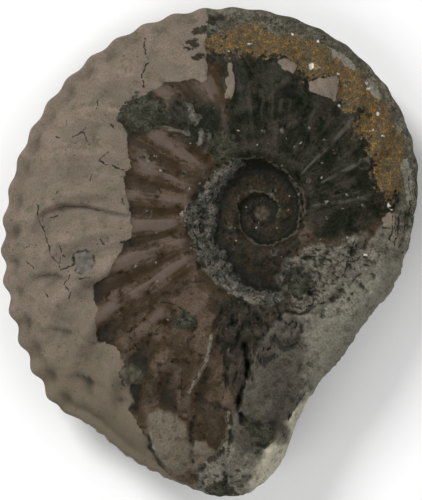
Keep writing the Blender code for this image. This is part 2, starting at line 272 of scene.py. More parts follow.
def coilHeight(radius, direction):
    turn = np.radians(direction)
    spill = smoothStep(*coil["spill"], direction)
    foot = coil["wallFoot"] + (coil["spillWallFoot"] - coil["wallFoot"]) * spill
    top = coil["wallTop"] + (coil["spillWallTop"] - coil["wallTop"]) * spill
    end = innerWhorls(radius, direction, -1)
    endWall = smoothStep(foot, top, radius / shoulderRadius(turn))
    end += (flankHeight(radius, turn, direction) - end) * endWall
    startTurn = turn - fullTurn
    start = innerWhorls(radius, direction, -2)
    startWall = smoothStep(coil["wallFoot"], coil["wallTop"], radius / shoulderRadius(startTurn))
    start += (flankHeight(radius, startTurn, direction) - start) * startWall
    return end + (start - end) * rampShare(radius, direction)


# What covers the stone where, each as closed outlines.
outlines = {
    "shell": (
        ((-10.8, 46.4), (-10.6, 39.1), (-10.1, 36.5), (-10.8, 33.1), (-10.8, 29.3), (-10.3, 28.1),
         (-10.4, 25.5), (-11.4, 24.3), (-12.3, 25.1), (-15.6, 24.7), (-18.4, 24.3), (-20.3, 23.2),
         (-21.7, 22.2), (-24.3, 20.3), (-27.0, 18.2), (-26.2, 16.7), (-25.5, 15.4), (-25.3, 13.1),
         (-24.9, 10.3), (-24.5, 8.9), (-25.6, 7.4), (-25.8, 5.5), (-25.6, 3.6), (-24.9, 2.1),
         (-24.5, 0.4), (-24.9, -1.1), (-24.5, -2.7), (-24.5, -4.6), (-25.5, -5.3), (-26.2, -6.8),
         (-27.9, -9.3), (-28.3, -10.6), (-29.3, -11.8), (-31.5, -13.1), (-31.7, -14.4), (-31.2, -16.3),
         (-31.0, -20.1), (-30.8, -23.9), (-28.5, -24.3), (-26.6, -25.5), (-26.0, -27.7), (-24.7, -32.5),
         (-23.8, -35.0), (-25.1, -36.7), (-22.8, -39.9), (-21.3, -42.9), (-19.4, -47.1), (-15.6, -50.9),
         (-13.7, -58.1), (-57.4, -58.1), (-57.4, 46.4)),
        ((-6.5, 28.1), (-5.7, 28.1), (-5.5, 26.4), (-5.3, 23.9), (-5.5, 22.0), (-5.9, 20.9), (-6.3, 21.7),
         (-6.8, 21.1), (-7.4, 22.4), (-6.8, 23.9), (-6.7, 25.8)),
        ((2.5, 28.3), (4.0, 29.1), (5.7, 28.5), (6.5, 27.4), (5.5, 26.4), (4.0, 27.0)),
        ((8.2, 24.9), (9.7, 25.1), (11.4, 25.3), (14.1, 26.2), (14.1, 24.7), (13.9, 22.4), (13.7, 20.9),
         (12.2, 21.5), (10.4, 22.2), (8.9, 23.4)),
        ((22.4, -0.9), (23.9, 0.2), (25.3, -0.4), (25.1, -2.1), (23.8, -2.7), (22.6, -2.3)),
        ((-10.3, 39.9), (-7.6, 39.5), (-6.8, 38.6), (-7.6, 38.2), (-9.5, 38.6)),
    ),
    "paleLobe": (
        ((-21.3, -37.2), (-19.4, -36.3), (-16.5, -36.9), (-14.4, -38.8), (-13.7, -43.0), (-13.3, -47.1),
         (-14.1, -49.0), (-17.1, -49.2), (-19.0, -47.1), (-20.5, -44.5), (-21.7, -41.0)),
        ((-13.3, -41.8), (-10.6, -42.2), (-9.1, -43.7), (-9.9, -45.4), (-11.8, -46.9), (-12.9, -48.5),
         (-13.5, -45.5)),
    ),
    "darkMould": (
        ((-10.6, 46.4), (-10.6, 28.9), (-8.0, 28.9), (-6.3, 21.7), (-7.6, 15.0), (-5.3, 10.3), (0.0, 7.2),
         (5.3, 4.6), (7.8, -1.5), (10.6, -5.5), (17.1, -4.2), (24.7, 0.2), (35.7, 1.7), (35.7, 46.4)),
        ((-17.1, 21.7), (-11.8, 21.7), (-7.6, 19.4), (-6.5, 15.0), (-10.8, 11.8), (-14.6, 12.9),
         (-18.2, 17.1)),
    ),
    "rimStone": (
        ((-10.5, 50.0), (-10.5, 33.5), (-4.9, 33.9), (0.0, 33.4), (7.2, 31.8), (12.9, 29.3), (17.1, 26.5),
         (20.9, 22.9), (23.2, 18.6), (25.2, 13.2), (26.2, 7.4), (26.0, 2.7), (24.8, -1.0), (40.0, -3.0),
         (40.0, 50.0)),
    ),
    "gold": (
        ((-11.8, 31.7), (-10.8, 33.1), (-7.6, 33.8), (-4.2, 35.7), (-0.8, 36.1), (0.4, 34.4), (7.2, 33.4),
         (12.0, 31.5), (15.8, 29.3), (19.6, 25.8), (23.4, 20.7), (25.8, 15.6), (27.2, 11.2), (26.4, 4.6),
         (23.6, 2.3), (22.2, 4.6), (20.5, 7.4), (20.9, 9.3), (19.8, 11.8), (19.8, 13.7), (17.9, 14.4),
         (17.1, 16.3), (18.6, 19.4), (15.2, 19.4), (13.7, 22.0), (12.0, 25.8), (8.2, 25.1), (6.3, 27.4),
         (4.4, 29.6), (0.0, 29.6), (-4.2, 30.0), (-8.9, 30.2), (-11.8, 29.6)),
    ),
    "matrix": (
        ((4.9, -8.4), (7.2, -7.2), (8.4, -5.9), (10.6, -5.5), (12.9, -6.1), (15.2, -4.9), (17.1, -4.2),
         (19.6, -3.4), (19.8, -4.9), (22.4, -2.1), (24.7, 0.2), (35.7, 0.2), (35.7, -58.1),
         (-12.7, -58.1), (-12.5, -48.6), (-11.8, -46.4), (-9.9, -45.2), (-8.4, -44.1), (-6.8, -42.2),
         (-5.7, -39.1), (-4.6, -36.3), (-3.6, -32.5), (-2.3, -28.1), (0.0, -23.9), (2.5, -19.8),
         (5.3, -18.6), (5.7, -16.3), (3.4, -14.4), (2.7, -11.8)),
    ),
    "fissured": (
        ((-9.5, -16.3), (-4.9, -15.2), (0.0, -17.1), (5.7, -16.3), (7.2, -18.6), (6.8, -22.0),
         (3.8, -24.9), (0.0, -28.1), (-2.3, -30.0), (-3.6, -32.5), (-4.6, -36.3), (-5.7, -35.3),
         (-6.5, -29.6), (-8.0, -24.9), (-9.1, -21.1)),
    ),
    "crust": (
        ((-4.2, 10.6), (-7.6, 9.3), (-10.1, 7.2), (-12.3, 3.6), (-13.9, 1.7), (-15.0, -0.4),
         (-13.9, -2.7), (-13.1, -5.9), (-12.3, -8.4), (-10.6, -11.2), (-8.2, -13.7), (-4.9, -15.6),
         (-2.3, -16.9), (1.1, -17.5), (4.4, -16.3), (3.4, -14.4), (-0.8, -14.1), (-2.9, -13.3),
         (-4.6, -11.4), (-5.9, -9.3), (-6.8, -7.2), (-8.7, -5.5), (-8.7, -2.7), (-8.0, -0.8), (-8.4, 1.3),
         (-7.8, 2.7), (-7.2, 4.6), (-5.3, 6.8), (-3.4, 8.7)),
    ),
    "umbilicus": (
        ((-4.2, 9.1), (0.0, 9.9), (3.8, 8.0), (6.8, 4.9), (8.0, 2.3), (7.8, -1.5), (6.7, -3.4),
         (7.2, -5.9), (5.7, -8.0), (3.8, -11.0), (2.7, -14.4), (-0.8, -14.4), (-3.0, -13.7),
         (-4.9, -11.4), (-6.3, -9.3), (-7.2, -7.2), (-9.1, -5.5), (-9.1, -2.7), (-8.4, -0.8), (-8.7, 1.3),
         (-8.2, 2.7), (-7.6, 4.6), (-5.7, 6.8)),
    ),
    "green": (
        ((-27.4, 17.7), (-26.6, 19.4), (-25.1, 20.9), (-23.2, 22.0), (-21.3, 22.6), (-20.7, 21.5),
         (-19.4, 22.0), (-17.9, 20.1), (-17.3, 18.2), (-17.9, 16.0), (-19.8, 15.4), (-21.3, 15.0),
         (-23.2, 15.2), (-24.9, 15.2), (-26.2, 16.7)),
        ((-17.1, -19.8), (-15.2, -18.1), (-12.5, -18.6), (-12.3, -20.5), (-14.1, -21.7), (-16.0, -21.1)),
        ((-10.6, 11.8), (-9.1, 13.7), (-7.2, 15.2), (-4.9, 14.1), (-4.2, 11.8), (-4.9, 9.9), (-7.6, 9.1),
         (-9.5, 10.3)),
        ((4.0, -11.2), (5.7, -10.3), (8.2, -11.0), (9.5, -13.1), (8.7, -15.0), (6.5, -15.6), (4.6, -14.8),
         (3.8, -12.9)),
        ((-4.2, -37.6), (-2.3, -37.4), (1.1, -38.8), (2.9, -40.7), (1.5, -42.9), (-1.1, -42.9),
         (-3.0, -41.0)),
        ((-11.4, -51.3), (-9.1, -50.2), (-6.8, -48.6), (-6.1, -50.5), (-4.9, -52.8), (-7.0, -54.3),
         (-9.9, -53.2)),
    ),
    "lobes": (
        ((-1.5, -25.5), (2.5, -19.8), (5.3, -18.6), (7.6, -21.0), (7.6, -27.0), (6.5, -34.0),
         (4.0, -40.0), (1.5, -43.5), (-4.0, -44.0), (-6.8, -42.2), (-5.7, -39.1), (-4.6, -36.3),
         (-3.6, -32.5)),
    ),
    "calcite": (
        ((-0.2, -43.6), (1.9, -42.6), (4.6, -43.6), (7.2, -41.0), (9.0, -50.0), (1.5, -54.5),
         (-3.6, -54.0), (-2.2, -50.0), (-1.2, -46.8)),
        ((6.2, -36.0), (11.0, -31.9), (11.0, -39.1), (4.9, -42.2), (4.2, -38.6)),
    ),
    "smoothMatrix": (
        ((16.0, -12.0), (21.0, -11.0), (27.0, -7.5), (35.0, -10.0), (35.0, -45.0), (10.0, -45.0),
         (8.0, -36.0), (9.5, -28.0), (8.5, -20.0), (12.0, -16.5)),
    ),
    "paleRemnant": (
        ((26.4, 10.1), (27.4, 10.4), (28.3, 8.4), (28.5, 5.5), (28.3, 2.7), (27.7, 1.1), (27.2, 3.0),
         (26.6, 5.5), (26.2, 8.0)),
        ((24.9, 17.1), (25.6, 17.3), (26.4, 15.8), (26.0, 15.0), (25.3, 15.8)),
        ((19.0, 25.3), (20.1, 25.6), (21.3, 24.7), (22.2, 23.2), (22.4, 21.9), (21.7, 21.3), (20.7, 22.6),
         (19.6, 23.9)),
        ((12.5, 31.4), (14.8, 30.6), (17.2, 28.6), (18.4, 27.0), (17.0, 27.2), (15.2, 28.6),
         (13.2, 30.0)),
    ),
    "plate": (
        ((-25.5, -30.4), (-23.2, -28.5), (-20.9, -28.9), (-18.4, -30.8), (-19.4, -33.1), (-20.9, -35.0),
         (-23.2, -36.1), (-24.5, -34.5)),
        ((-12.5, -35.7), (-10.8, -35.5), (-7.6, -35.9), (-6.3, -36.9), (-6.3, -40.1), (-7.2, -42.6),
         (-8.9, -44.1), (-10.6, -42.2), (-13.3, -41.8), (-13.5, -38.8)),
    ),
}

# Rounded lumps: centre, half widths, lean of the first half width, and height.
lumps = (
    ((-30.0, -4.8), 8.0, 2.8, 8, 0.85),
    ((-34.0, 4.6), 7.0, 2.4, -4, 0.60),
    ((-36.0, 15.2), 6.0, 2.2, 28, 0.60),
    ((-31.0, 24.0), 6.0, 2.2, 40, 0.50),
    ((-37.0, -17.2), 6.5, 2.8, -22, 0.70),
    ((-29.6, -32.4), 2.6, 6.0, 16, 0.75),
    ((-23.6, -40.0), 2.0, 5.0, 24, 0.55),
    ((0.0, -33.4), 4.2, 7.2, -18, 1.3),  # the biggest lobe of the broken end
    ((-0.6, -41.4), 4.6, 2.6, 10, 0.5),
    ((-4.9, -47.3), 5.4, 4.8, 0, 1.0),
    ((1.9, -45.6), 2.4, 5.2, -12, 0.8),
    ((-17.3, -42.6), 3.6, 8.2, 14, 1.4),  # the last rib
    ((-10.4, -40.3), 3.0, 6.6, -6, 0.9),
    ((-24.5, -30.0), 2.3, 2.3, 0, 1.0),
    ((-22.4, 18.6), 5.0, 3.4, 25, 0.8),
    ((16.7, -4.9), 2.8, 2.0, 20, 1.0),
    ((6.8, -13.1), 2.8, 2.6, 0, 0.8),
    ((11.6, -13.7), 2.8, 2.4, 0, 0.9),
    ((9.9, -6.8), 2.8, 1.9, 12, 0.8),
    ((21.7, -8.4), 2.4, 2.4, 0, 0.7),
    ((5.7, -17.1), 3.2, 2.0, -8, 0.6),
    ((4.4, -21.5), 2.4, 2.2, 0, 0.7),
    ((0.6, -22.0), 2.2, 1.4, 40, 0.5),
    ((-6.7, -22.0), 2.0, 2.6, 20, 0.5),
    ((-11.2, 13.9), 1.1, 2.2, -10, 0.45),
    ((-13.1, 18.4), 0.8, 2.0, 20, 0.3),
    ((0.0, 15.2), 0.9, 0.6, 0, 0.3),
    ((3.6, 15.2), 0.5, 0.5, 0, 0.25),
    ((8.2, -3.4), 1.8, 1.8, 0, 0.5),
    ((5.1, 22.8), 2.4, 1.5, 10, -0.7),  # a hollow under the ledge
    ((-44.6, 9.1), 1.6, 1.2, 60, -0.35),  # hollows inside the keel
    ((-42.8, 14.6), 1.6, 1.2, 50, -0.3),
    ((-46.5, -3.0), 1.6, 1.3, 80, -0.35),
    ((8.2, -8.2), 0.7, 0.7, 0, -0.7),
)
lumpEdge = (0.35, 1.15)  # shares of the half widths over which a lump falls off

# Small round scars: centre, radius, height of the ring and of the floor inside it.
scars = (
    ((-33.4, -9.1), 2.0, 0.26, 0.10),
    ((-24.5, -30.0), 2.1, 0.20, 0.25),
    ((-14.6, 7.2), 0.50, 0.24, -0.10),
    ((-21.3, -0.2), 0.75, 0.16, -0.02),
    ((-20.3, -7.2), 0.80, 0.16, 0.10),
    ((-14.8, -23.9), 0.7, 0.14, -0.02),
    ((-22.4, 10.9), 1.0, 0.14, -0.05),
    ((8.6, 6.1), 0.4, 0.20, 0.10),
    ((13.5, 11.6), 0.5, 0.12, 0.10),
    ((2.1, 4.2), 0.45, 0.16, -0.10),
    ((-6.1, -2.3), 0.45, 0.16, 0.05),
    ((5.7, -16.9), 0.9, 0.20, -0.10),
    ((4.4, -21.3), 1.9, 0.20, 0.05),
    ((-7.2, -47.7), 0.6, 0.16, -0.08),
    ((2.1, -7.2), 0.6, 0.14, -0.05),
    ((19.0, 9.3), 1.0, 0.10, -0.08),
)
scarShape = {"ringShare": 0.30, "ringWidth": 0.08, "floorFrom": 0.6, "lineShare": 0.10, "lineWidth": 0.05}

# Open lines, pressed in where the height is below nothing: points, half width and height.
ridges = (
    (((-3.2, -24.3), (-2.9, -27.7), (-3.2, -30.4), (-4.2, -33.4), (-4.4, -36.3),
     (-3.8, -38.4)), 0.45, -1.7),
    (((-12.2, -33.4), (-10.8, -35.1), (-7.6, -35.7), (-5.9, -36.7)), 0.34, -0.6),
    (((-5.9, -37.2), (-5.9, -39.9), (-6.7, -42.8), (-8.4, -44.8), (-10.6, -46.4),
     (-12.2, -48.3)), 0.34, -0.7),
    (((-12.9, -37.6), (-13.4, -40.4), (-13.2, -43.2), (-13.1, -46.2)), 0.34, -0.55),
    (((-2.3, -29.0), (-2.0, -31.6), (-2.9, -34.0), (-2.7, -36.4)), 0.3, -0.6),
    (((-7.9, -25.6), (-6.9, -28.4), (-6.7, -31.4), (-7.4, -34.4)), 0.32, -0.7),
    (((-8.0, -21.0), (-5.6, -20.2), (-3.0, -19.2), (-0.6, -18.6)), 0.3, -0.45),
    (((-21.7, -41.0), (-21.1, -43.7), (-20.3, -45.8), (-18.8, -48.1), (-16.9, -49.8),
     (-13.3, -49.0)), 0.34, -0.8),
    (((-2.7, -27.0), (-0.8, -25.8), (0.8, -23.9), (1.9, -22.0)), 0.55, 0.7),
    (((-9.5, -22.4), (-9.9, -24.9), (-10.8, -27.7), (-12.2, -30.0), (-13.7, -32.3)), 0.75, 0.75),
    (((7.6, -33.4), (5.7, -36.3), (4.6, -38.0)), 0.34, -0.6),
    (((-7.2, -47.9), (-7.0, -49.4), (-7.4, -51.1)), 0.5, -0.8),
    (((-12.5, -49.4), (-12.0, -51.3), (-10.3, -52.4)), 0.5, -0.7),
    (((-3.4, -38.0), (-0.8, -39.3), (1.9, -39.9), (2.7, -41.4), (0.8, -42.9), (-1.9, -42.8)), 0.32, -0.4),
    (((-4.2, -16.0), (-5.7, -17.3), (-7.6, -18.2), (-9.1, -20.5), (-9.5, -23.2)), 0.5, -0.6),
    (((0.0, -18.2), (-1.3, -19.8), (-3.6, -20.5), (-4.6, -22.8), (-3.4, -24.9)), 0.5, -0.7),
    (((2.7, -19.8), (3.8, -17.9), (7.2, -18.6), (9.5, -17.3)), 0.5, -0.6),
    (((-8.4, -22.8), (-7.2, -24.3), (-5.3, -24.9), (-4.2, -23.6)), 0.4, -0.4),
    (((7.2, -20.5), (6.7, -23.0), (5.3, -24.7), (3.4, -24.9)), 0.4, -0.4),
    (((2.7, 23.9), (4.9, 24.5), (7.2, 23.6), (8.4, 22.2)), 0.6, 0.45),
    (((7.2, 24.7), (9.5, 23.6), (11.4, 21.9), (13.7, 20.7)), 0.5, 0.3),
    (((19.8, -3.8), (20.1, -5.7), (19.9, -8.0)), 0.4, 0.35),
    (((5.5, 16.0), (6.7, 18.2), (7.4, 20.5)), 0.8, 0.35),
    (((6.5, 11.8), (8.4, 14.4), (10.6, 17.5)), 0.6, 0.25),
)

# Edges of growth across the shell, tall on the older side: points, half width, height.
growthEdges = (
    (((-43.1, -3.2), (-42.2, -0.4), (-40.3, 0.8), (-36.9, 1.7), (-33.2, 1.5), (-29.6, 0.6),
     (-25.4, -0.4)), 0.9, 0.62),
    (((-43.4, 6.2), (-42.6, 8.9), (-40.8, 11.4), (-37.4, 12.6), (-33.4, 12.2)), 1.0, 0.44),
    (((-40.6, 15.2), (-38.6, 18.2), (-35.6, 20.0), (-32.0, 20.6)), 1.1, 0.4),
    (((-36.4, 24.2), (-33.2, 26.8), (-29.6, 27.8)), 1.2, 0.36),
    (((-44.2, -13.2), (-42.0, -11.4), (-38.8, -11.2), (-34.6, -12.4), (-31.2, -14.0)), 1.0, 0.5),
    (((-42.4, -22.4), (-39.8, -21.2), (-36.0, -21.8), (-32.0, -23.8)), 1.1, 0.5),
    (((-38.2, -31.0), (-34.6, -30.0), (-30.4, -31.6), (-27.4, -34.4)), 1.1, 0.5),
    (((-31.8, -39.4), (-28.4, -38.6), (-25.6, -40.4), (-23.4, -43.4)), 1.0, 0.48),
)
growth = {"softness": 0.25, "olderReach": 2.6, "youngerDip": 0.6, "onShell": (0.0, 0.6)}

# Worm tubes grown on the stone, and the shell's thin edges round the umbilicus: points, half width, height.
tubes = (
    (((-18.2, 16.0), (-17.3, 16.1), (-16.5, 15.2), (-15.4, 15.4), (-14.6, 14.6), (-13.5, 14.6),
     (-13.9, 15.4)), 0.28, 0.32),
    (((-14.2, 20.9), (-13.1, 19.8), (-12.5, 18.2), (-12.7, 16.7), (-14.1, 16.3)), 0.34, 0.3),
    (((-23.2, 10.6), (-22.2, 11.2), (-21.5, 10.1), (-21.3, 8.7)), 0.28, 0.22),
    (((-4.6, 10.1), (-2.3, 10.4), (0.0, 10.3), (1.9, 9.3), (4.2, 7.8), (6.5, 5.5), (7.8, 3.4), (7.8, 1.1),
     (7.6, -1.5)), 0.3, 0.4),
    (((4.9, 6.5), (6.1, 5.1), (6.7, 3.4), (7.0, 1.3), (6.8, -1.1), (6.5, -3.0)), 0.28, 0.38),
    (((-4.6, 3.4), (-4.8, 1.5), (-4.6, -0.8), (-4.2, -2.7), (-2.7, -4.8), (0.0, -6.1), (2.7, -5.5),
     (4.9, -4.4), (6.5, -3.0)), 0.3, 0.42),
    (((-3.0, 3.4), (-1.5, 4.4), (0.4, 4.2), (2.1, 3.2), (3.2, 1.3), (2.9, -0.6)), 0.28, 0.3),
    (((-7.0, -37.4), (-6.7, -40.2), (-7.6, -42.9), (-9.0, -44.4)), 0.3, 0.35),
)

# Hairline cracks, too fine for the mesh, drawn by the material.
cracks = (
    ((-38.8, 14.6), (-38.0, 14.4)),
    ((-35.7, 14.4), (-34.6, 15.2), (-33.8, 15.4), (-33.2, 16.1)),
    ((-33.6, 15.2), (-33.1, 14.1), (-32.5, 13.1)),
    ((-28.7, 11.4), (-29.8, 10.6), (-30.6, 9.7), (-29.4, 9.1), (-28.3, 8.7)),
    ((-28.3, 8.7), (-27.0, 8.4), (-25.6, 8.0)),
    ((-22.4, 33.1), (-22.2, 31.2), (-21.9, 29.8), (-21.5, 28.5), (-22.2, 27.0), (-22.8, 25.1),
     (-22.2, 23.6)),
    ((-31.2, 21.7), (-30.8, 20.1), (-31.2, 19.4)),
    ((-28.7, 16.7), (-27.9, 16.1)),
    ((-42.2, 1.7), (-42.2, -0.2), (-42.0, -1.7), (-40.9, -3.6), (-40.3, -5.5), (-39.7, -7.0),
     (-38.8, -9.1), (-37.8, -10.4), (-36.5, -10.4), (-35.5, -9.5), (-35.1, -8.2)),
    ((-31.7, 7.4), (-32.3, 6.3)),
    ((-38.2, 4.0), (-39.1, 2.5)),
    ((-40.3, -0.8), (-39.3, -0.8), (-38.4, -0.2)),
    ((-31.2, 0.8), (-30.0, 0.6)),
    ((-38.2, -6.1), (-37.6, -7.2), (-36.9, -8.4)),
    ((-44.8, -6.3), (-43.7, -6.3)),
    ((-44.5, -8.9), (-42.9, -10.1)),
    ((-30.2, -4.9), (-29.6, -5.7)),
    ((-26.4, 2.7), (-25.8, 1.5)),
    ((-34.2, -12.3), (-32.3, -12.0)),
    ((-36.1, -11.6), (-36.9, -13.3), (-35.9, -14.8), (-36.3, -16.0)),
    ((-40.7, -14.4), (-40.3, -16.0)),
    ((-24.9, -23.2), (-23.6, -24.3), (-22.8, -25.5)),
    ((-11.8, -6.8), (-12.5, -4.6), (-13.7, -2.3), (-14.8, -0.8), (-13.5, 1.7), (-12.0, 3.8)),
    ((-10.6, 19.4), (-9.1, 17.5), (-8.0, 15.6)),
    ((-4.2, -10.6), (-2.7, -12.3), (-3.0, -13.7)),
    ((9.5, 2.7), (10.6, 1.5), (12.9, 0.8)),
    ((24.7, -0.4), (24.5, -2.7), (23.9, -4.9)),
    ((25.8, 0.0), (25.6, -3.0), (24.9, -6.1)),
    ((27.0, 0.4), (26.8, -3.0), (26.0, -6.5)),
    ((27.9, 7.2), (28.1, 3.4), (27.7, -0.4)),
    ((28.9, 6.8), (29.1, 2.7), (28.5, -1.9)),
    ((17.1, -4.9), (16.0, -9.1), (14.4, -11.8), (12.2, -11.4)),
    ((7.2, -8.4), (10.6, -8.0), (12.9, -9.1)),
    ((14.1, -9.1), (16.7, -9.1), (18.6, -7.6)),
    ((-14.4, -18.2), (-17.5, -16.3), (-20.9, -17.1)),
    ((-18.2, -20.1), (-19.8, -22.0)),
    ((-14.8, -32.3), (-13.3, -31.2), (-12.0, -30.0)),
    ((3.4, -16.3), (7.2, -17.5), (11.0, -16.3)),
    ((4.2, 20.9), (4.6, 18.6), (4.0, 16.3)),
    ((-3.0, 19.8), (-2.3, 17.1), (-2.7, 14.1)),
)

# Dark leaf-shaped stains of the chamber walls, and other stains: centre, half widths, lean.
leaves = (
    ((-33.5, -9.0), 2.25, 2.2, 0),
    ((-24.5, -30.1), 2.45, 2.25, 0),
    ((-12.0, 34.4), 1.3, 0.8, 10),
    ((-11.0, 35.1), 0.7, 0.6, 0),
    ((-13.5, 32.3), 1.4, 0.6, 15),
    ((-12.5, 31.7), 0.7, 0.5, 0),
    ((-13.7, 31.0), 0.8, 0.35, 10),
    ((-12.3, 29.3), 1.2, 0.7, 20),
    ((-9.5, 36.3), 1.0, 0.6, 0),
    ((-9.3, 34.4), 0.6, 0.35, 0),
    ((-9.5, 29.3), 1.4, 0.9, 0),
    ((-24.5, -5.5), 1.5, 0.6, 0),
    ((-32.3, -40.5), 0.8, 0.5, 0),
)

discs = (((-33.4, -9.1), 2.0, 2.0, 0),)
nodules = (((-24.5, -30.0), 2.2, 2.0, 0),)
nucleus = (((0.1, -0.1), 1.7, 1.5, 0),)

# Glassy whitish patches over the first ribs of the dark part.
glossySpots = (
    ((-11.6, 13.9), 0.6, 1.7, -14),
    ((-10.2, 14.2), 0.4, 1.0, 10),
    ((-13.2, 18.4), 0.5, 1.6, 24),
    ((-12.2, 17.3), 0.4, 0.9, -10),
    ((-17.0, 15.6), 1.2, 0.4, -20),
    ((-14.5, 14.8), 0.9, 0.35, -20),
    ((-0.2, 15.3), 0.45, 0.35, 0),
    ((3.6, 15.2), 0.35, 0.35, 0),
)

# Centre and half width.
whiteSpecks = (
    ((9.3, 27.7), 0.54),
    ((10.3, 27.4), 0.29),
    ((19.4, 24.7), 0.29),
    ((20.1, 23.6), 0.36),
    ((21.9, 19.0), 0.25),
    ((21.5, 11.4), 0.18),
    ((23.8, 1.5), 0.36),
    ((24.1, 0.8), 0.25),
    ((14.4, 26.4), 0.22),
    ((14.2, 25.1), 0.25),
    ((14.2, 20.1), 0.25),
    ((20.5, 15.8), 0.29),
    ((-2.5, 31.9), 0.25),
    ((-1.9, 29.3), 0.14),
    ((5.7, 33.8), 0.25),
    ((10.6, 32.7), 0.22),
    ((-6.3, 30.6), 0.22),
    ((-1.3, -2.7), 0.14),
    ((-0.8, -1.9), 0.11),
    ((-2.3, 8.4), 0.14),
    ((22.6, 14.4), 0.25),
    ((19.2, -7.8), 0.25),
)


# Pale lips where a plate of shell ends, as lines, and their half width.
lips = (
    ((-9.6, -22.4), (-10.0, -24.9), (-10.7, -27.7), (-12.1, -30.4), (-13.8, -33.0)),
    ((-6.5, -36.6), (-6.3, -39.1), (-6.8, -42.4), (-8.6, -45.2)),
    ((-20.9, -40.4), (-20.5, -43.2), (-19.6, -45.6)),
)
lipHalfWidth = 0.29

# Painted glints: tiny spots of painted highlight, scattered by seed.
glints = {
    "seed": 12,
    "count": 110,
    "directions": (-70, 260),
    "radii": (2.0, 33.0),
    "halfWidths": (0.10, 0.20),
    "slimness": 0.7,
}

underLumps = (
    ((-16.0, -41.0), 4.0, 7.0, 12, 0.9),
    ((0.0, -42.0), 5.0, 5.0, -15, 0.7),
    ((-28.0, 12.0), 3.0, 2.4, 0, 0.6),
)
underRoughness = {"height": 0.10, "lumpSize": 2.6}

mound = {
    "centre": (-8.0, -13.0),
    "halfWidths": (17.0, 13.5),
    "lean": -25,
    "height": 11.4,
    "edge": (0.8, 1.5),
    "unevenness": 0.35,
    "lumpSize": 9.0,
}

crust = {
    "thickness": 0.8,
    "lumpSize": 2.2,
    "mean": 0.6,
    "innerEdge": (0.66, 0.76),
    "outerEdge": (0.98, 1.06),
    "start": (60, 130),
    "end": (300, 325),
    "below": 0.6,  # of the thickness, on the lower flank
    "fill": 1.5,
    "fillEdge": (-0.1, 1.4),
    "fillUntil": (0.82, 1.06),  # shares of the shoulder's radius
}

# How far each cover stands up, how rough it is, and over what width it ends, in millimetres.
covers = {
    "shell": {"thickness": 0.26, "edge": (-0.20, 0.22), "roughness": 0.06, "lumpSize": 3.0},
    "gold": {"thickness": 0.14, "edge": (-0.40, 0.50), "roughness": 0.16, "lumpSize": 0.9},
    "green": {"thickness": 0.22, "edge": (-0.35, 0.45), "roughness": 0.26, "lumpSize": 1.2},
    "crust": {"thickness": 0.45, "edge": (-0.20, 0.45), "roughness": 0.55, "lumpSize": 1.5},
    "fissured": {"thickness": 0.0, "edge": (-0.8, 1.2), "roughness": 0.42, "lumpSize": 2.0},
    "darkMould": {"thickness": 0.0, "edge": (-0.6, 0.6), "roughness": 0.14, "lumpSize": 1.3},
    "umbilicus": {"thickness": 0.0, "edge": (-0.6, 0.6), "roughness": 0.20, "lumpSize": 1.1},
    "matrix": {"thickness": 0.10, "edge": (-0.4, 0.9), "roughness": 0.12, "lumpSize": 2.4},
}

# Winding cracks: the cover they run through, their size, half width, depth and place in the noise.
veins = (
    ("fissured", 5.0, 0.035, 0.80, 51.0),
    ("fissured", 2.8, 0.030, 0.35, 57.0),
    ("granularStone", 3.2, 0.050, 0.45, 61.0),
    ("lobes", 7.0, 0.025, 0.25, 71.0),
)
veinEdge = (-0.3, 0.8)

granular = {"centre": (11.0, -9.5), "reach": (7.0, 12.5), "roughness": 1.0, "lumpSize": 2.0}

# Uneven shares: the mean, the swing, the least and the most, and the noise's size, octaves and shift.
patches = {
    "ridge": (0.9, 1.5, 0.15, 1.7, 1.6, 2, 41.0),
    # The second row makes the painted shade between the keel's beads uneven.
    "keelBeadShade": (0.4, 1.8, 0.0, 0.8, 3.0, 3, 91.0),
    "crestLine": (0.55, 1.5, 0.0, 1.0, 2.2, 3, 4.0),
    "spot": (1.0, 1.3, 0.55, 1.6, 0.8, 3, 33.0),
}

farOutside = -6.0  # the depth of what lies well outside a cover or a spot


def cloud(places, size, octaves=3, shift=0.0):
    moved = places / size + (shift, 0.0, 0.0)
    return np.array([noise.fractal(place, 1.0, 2.0, octaves) for place in moved.tolist()])


def cloudWhere(places, strength, size, octaves=3, shift=0.0):
    # roughness only where it counts
    total = np.zeros(len(places))
    busy = strength > 0.001
    if busy.any():
        total[busy] = strength[busy] * cloud(places[busy], size, octaves, shift)
    return total


def patchiness(places, name):
    mean, swing, least, most, size, octaves, shift = patches[name]
    return np.clip(mean + swing * cloud(places, size, octaves, shift), least, most)


def offsetToLine(x, y, points):
    # the step from each vertex to the nearest place on the line, and its length
    nearest = np.full(x.shape, 99.0)
    stepX, stepY = np.zeros_like(x), np.full(x.shape, 99.0)
    for (x0, y0), (x1, y1) in zip(points, points[1:]):
        alongX, alongY = x1 - x0, y1 - y0
        t = np.clip(((x - x0) * alongX + (y - y0) * alongY) / (alongX**2 + alongY**2), 0.0, 1.0)
        toX, toY = x0 + t * alongX - x, y0 + t * alongY - y
        gap = np.hypot(toX, toY)
        closer = gap < nearest
        nearest = np.where(closer, gap, nearest)
        stepX, stepY = np.where(closer, toX, stepX), np.where(closer, toY, stepY)
    return stepX, stepY, nearest


def insideBy(x, y, outline):
    # how far inside the outline, and below nothing outside it
    inside = np.zeros(x.shape, dtype=bool)
    for (x0, y0), (x1, y1) in zip(outline, outline[1:] + outline[:1]):
        if y0 != y1:
            inside ^= ((y0 > y) != (y1 > y)) & (x < (x1 - x0) * (y - y0) / (y1 - y0) + x0)
    gap = offsetToLine(x, y, outline + outline[:1])[2]
    return np.where(inside, gap, -gap)


def zoneDepth(x, y, name):
    return np.max([insideBy(x, y, outline) for outline in outlines[name]], axis=0)


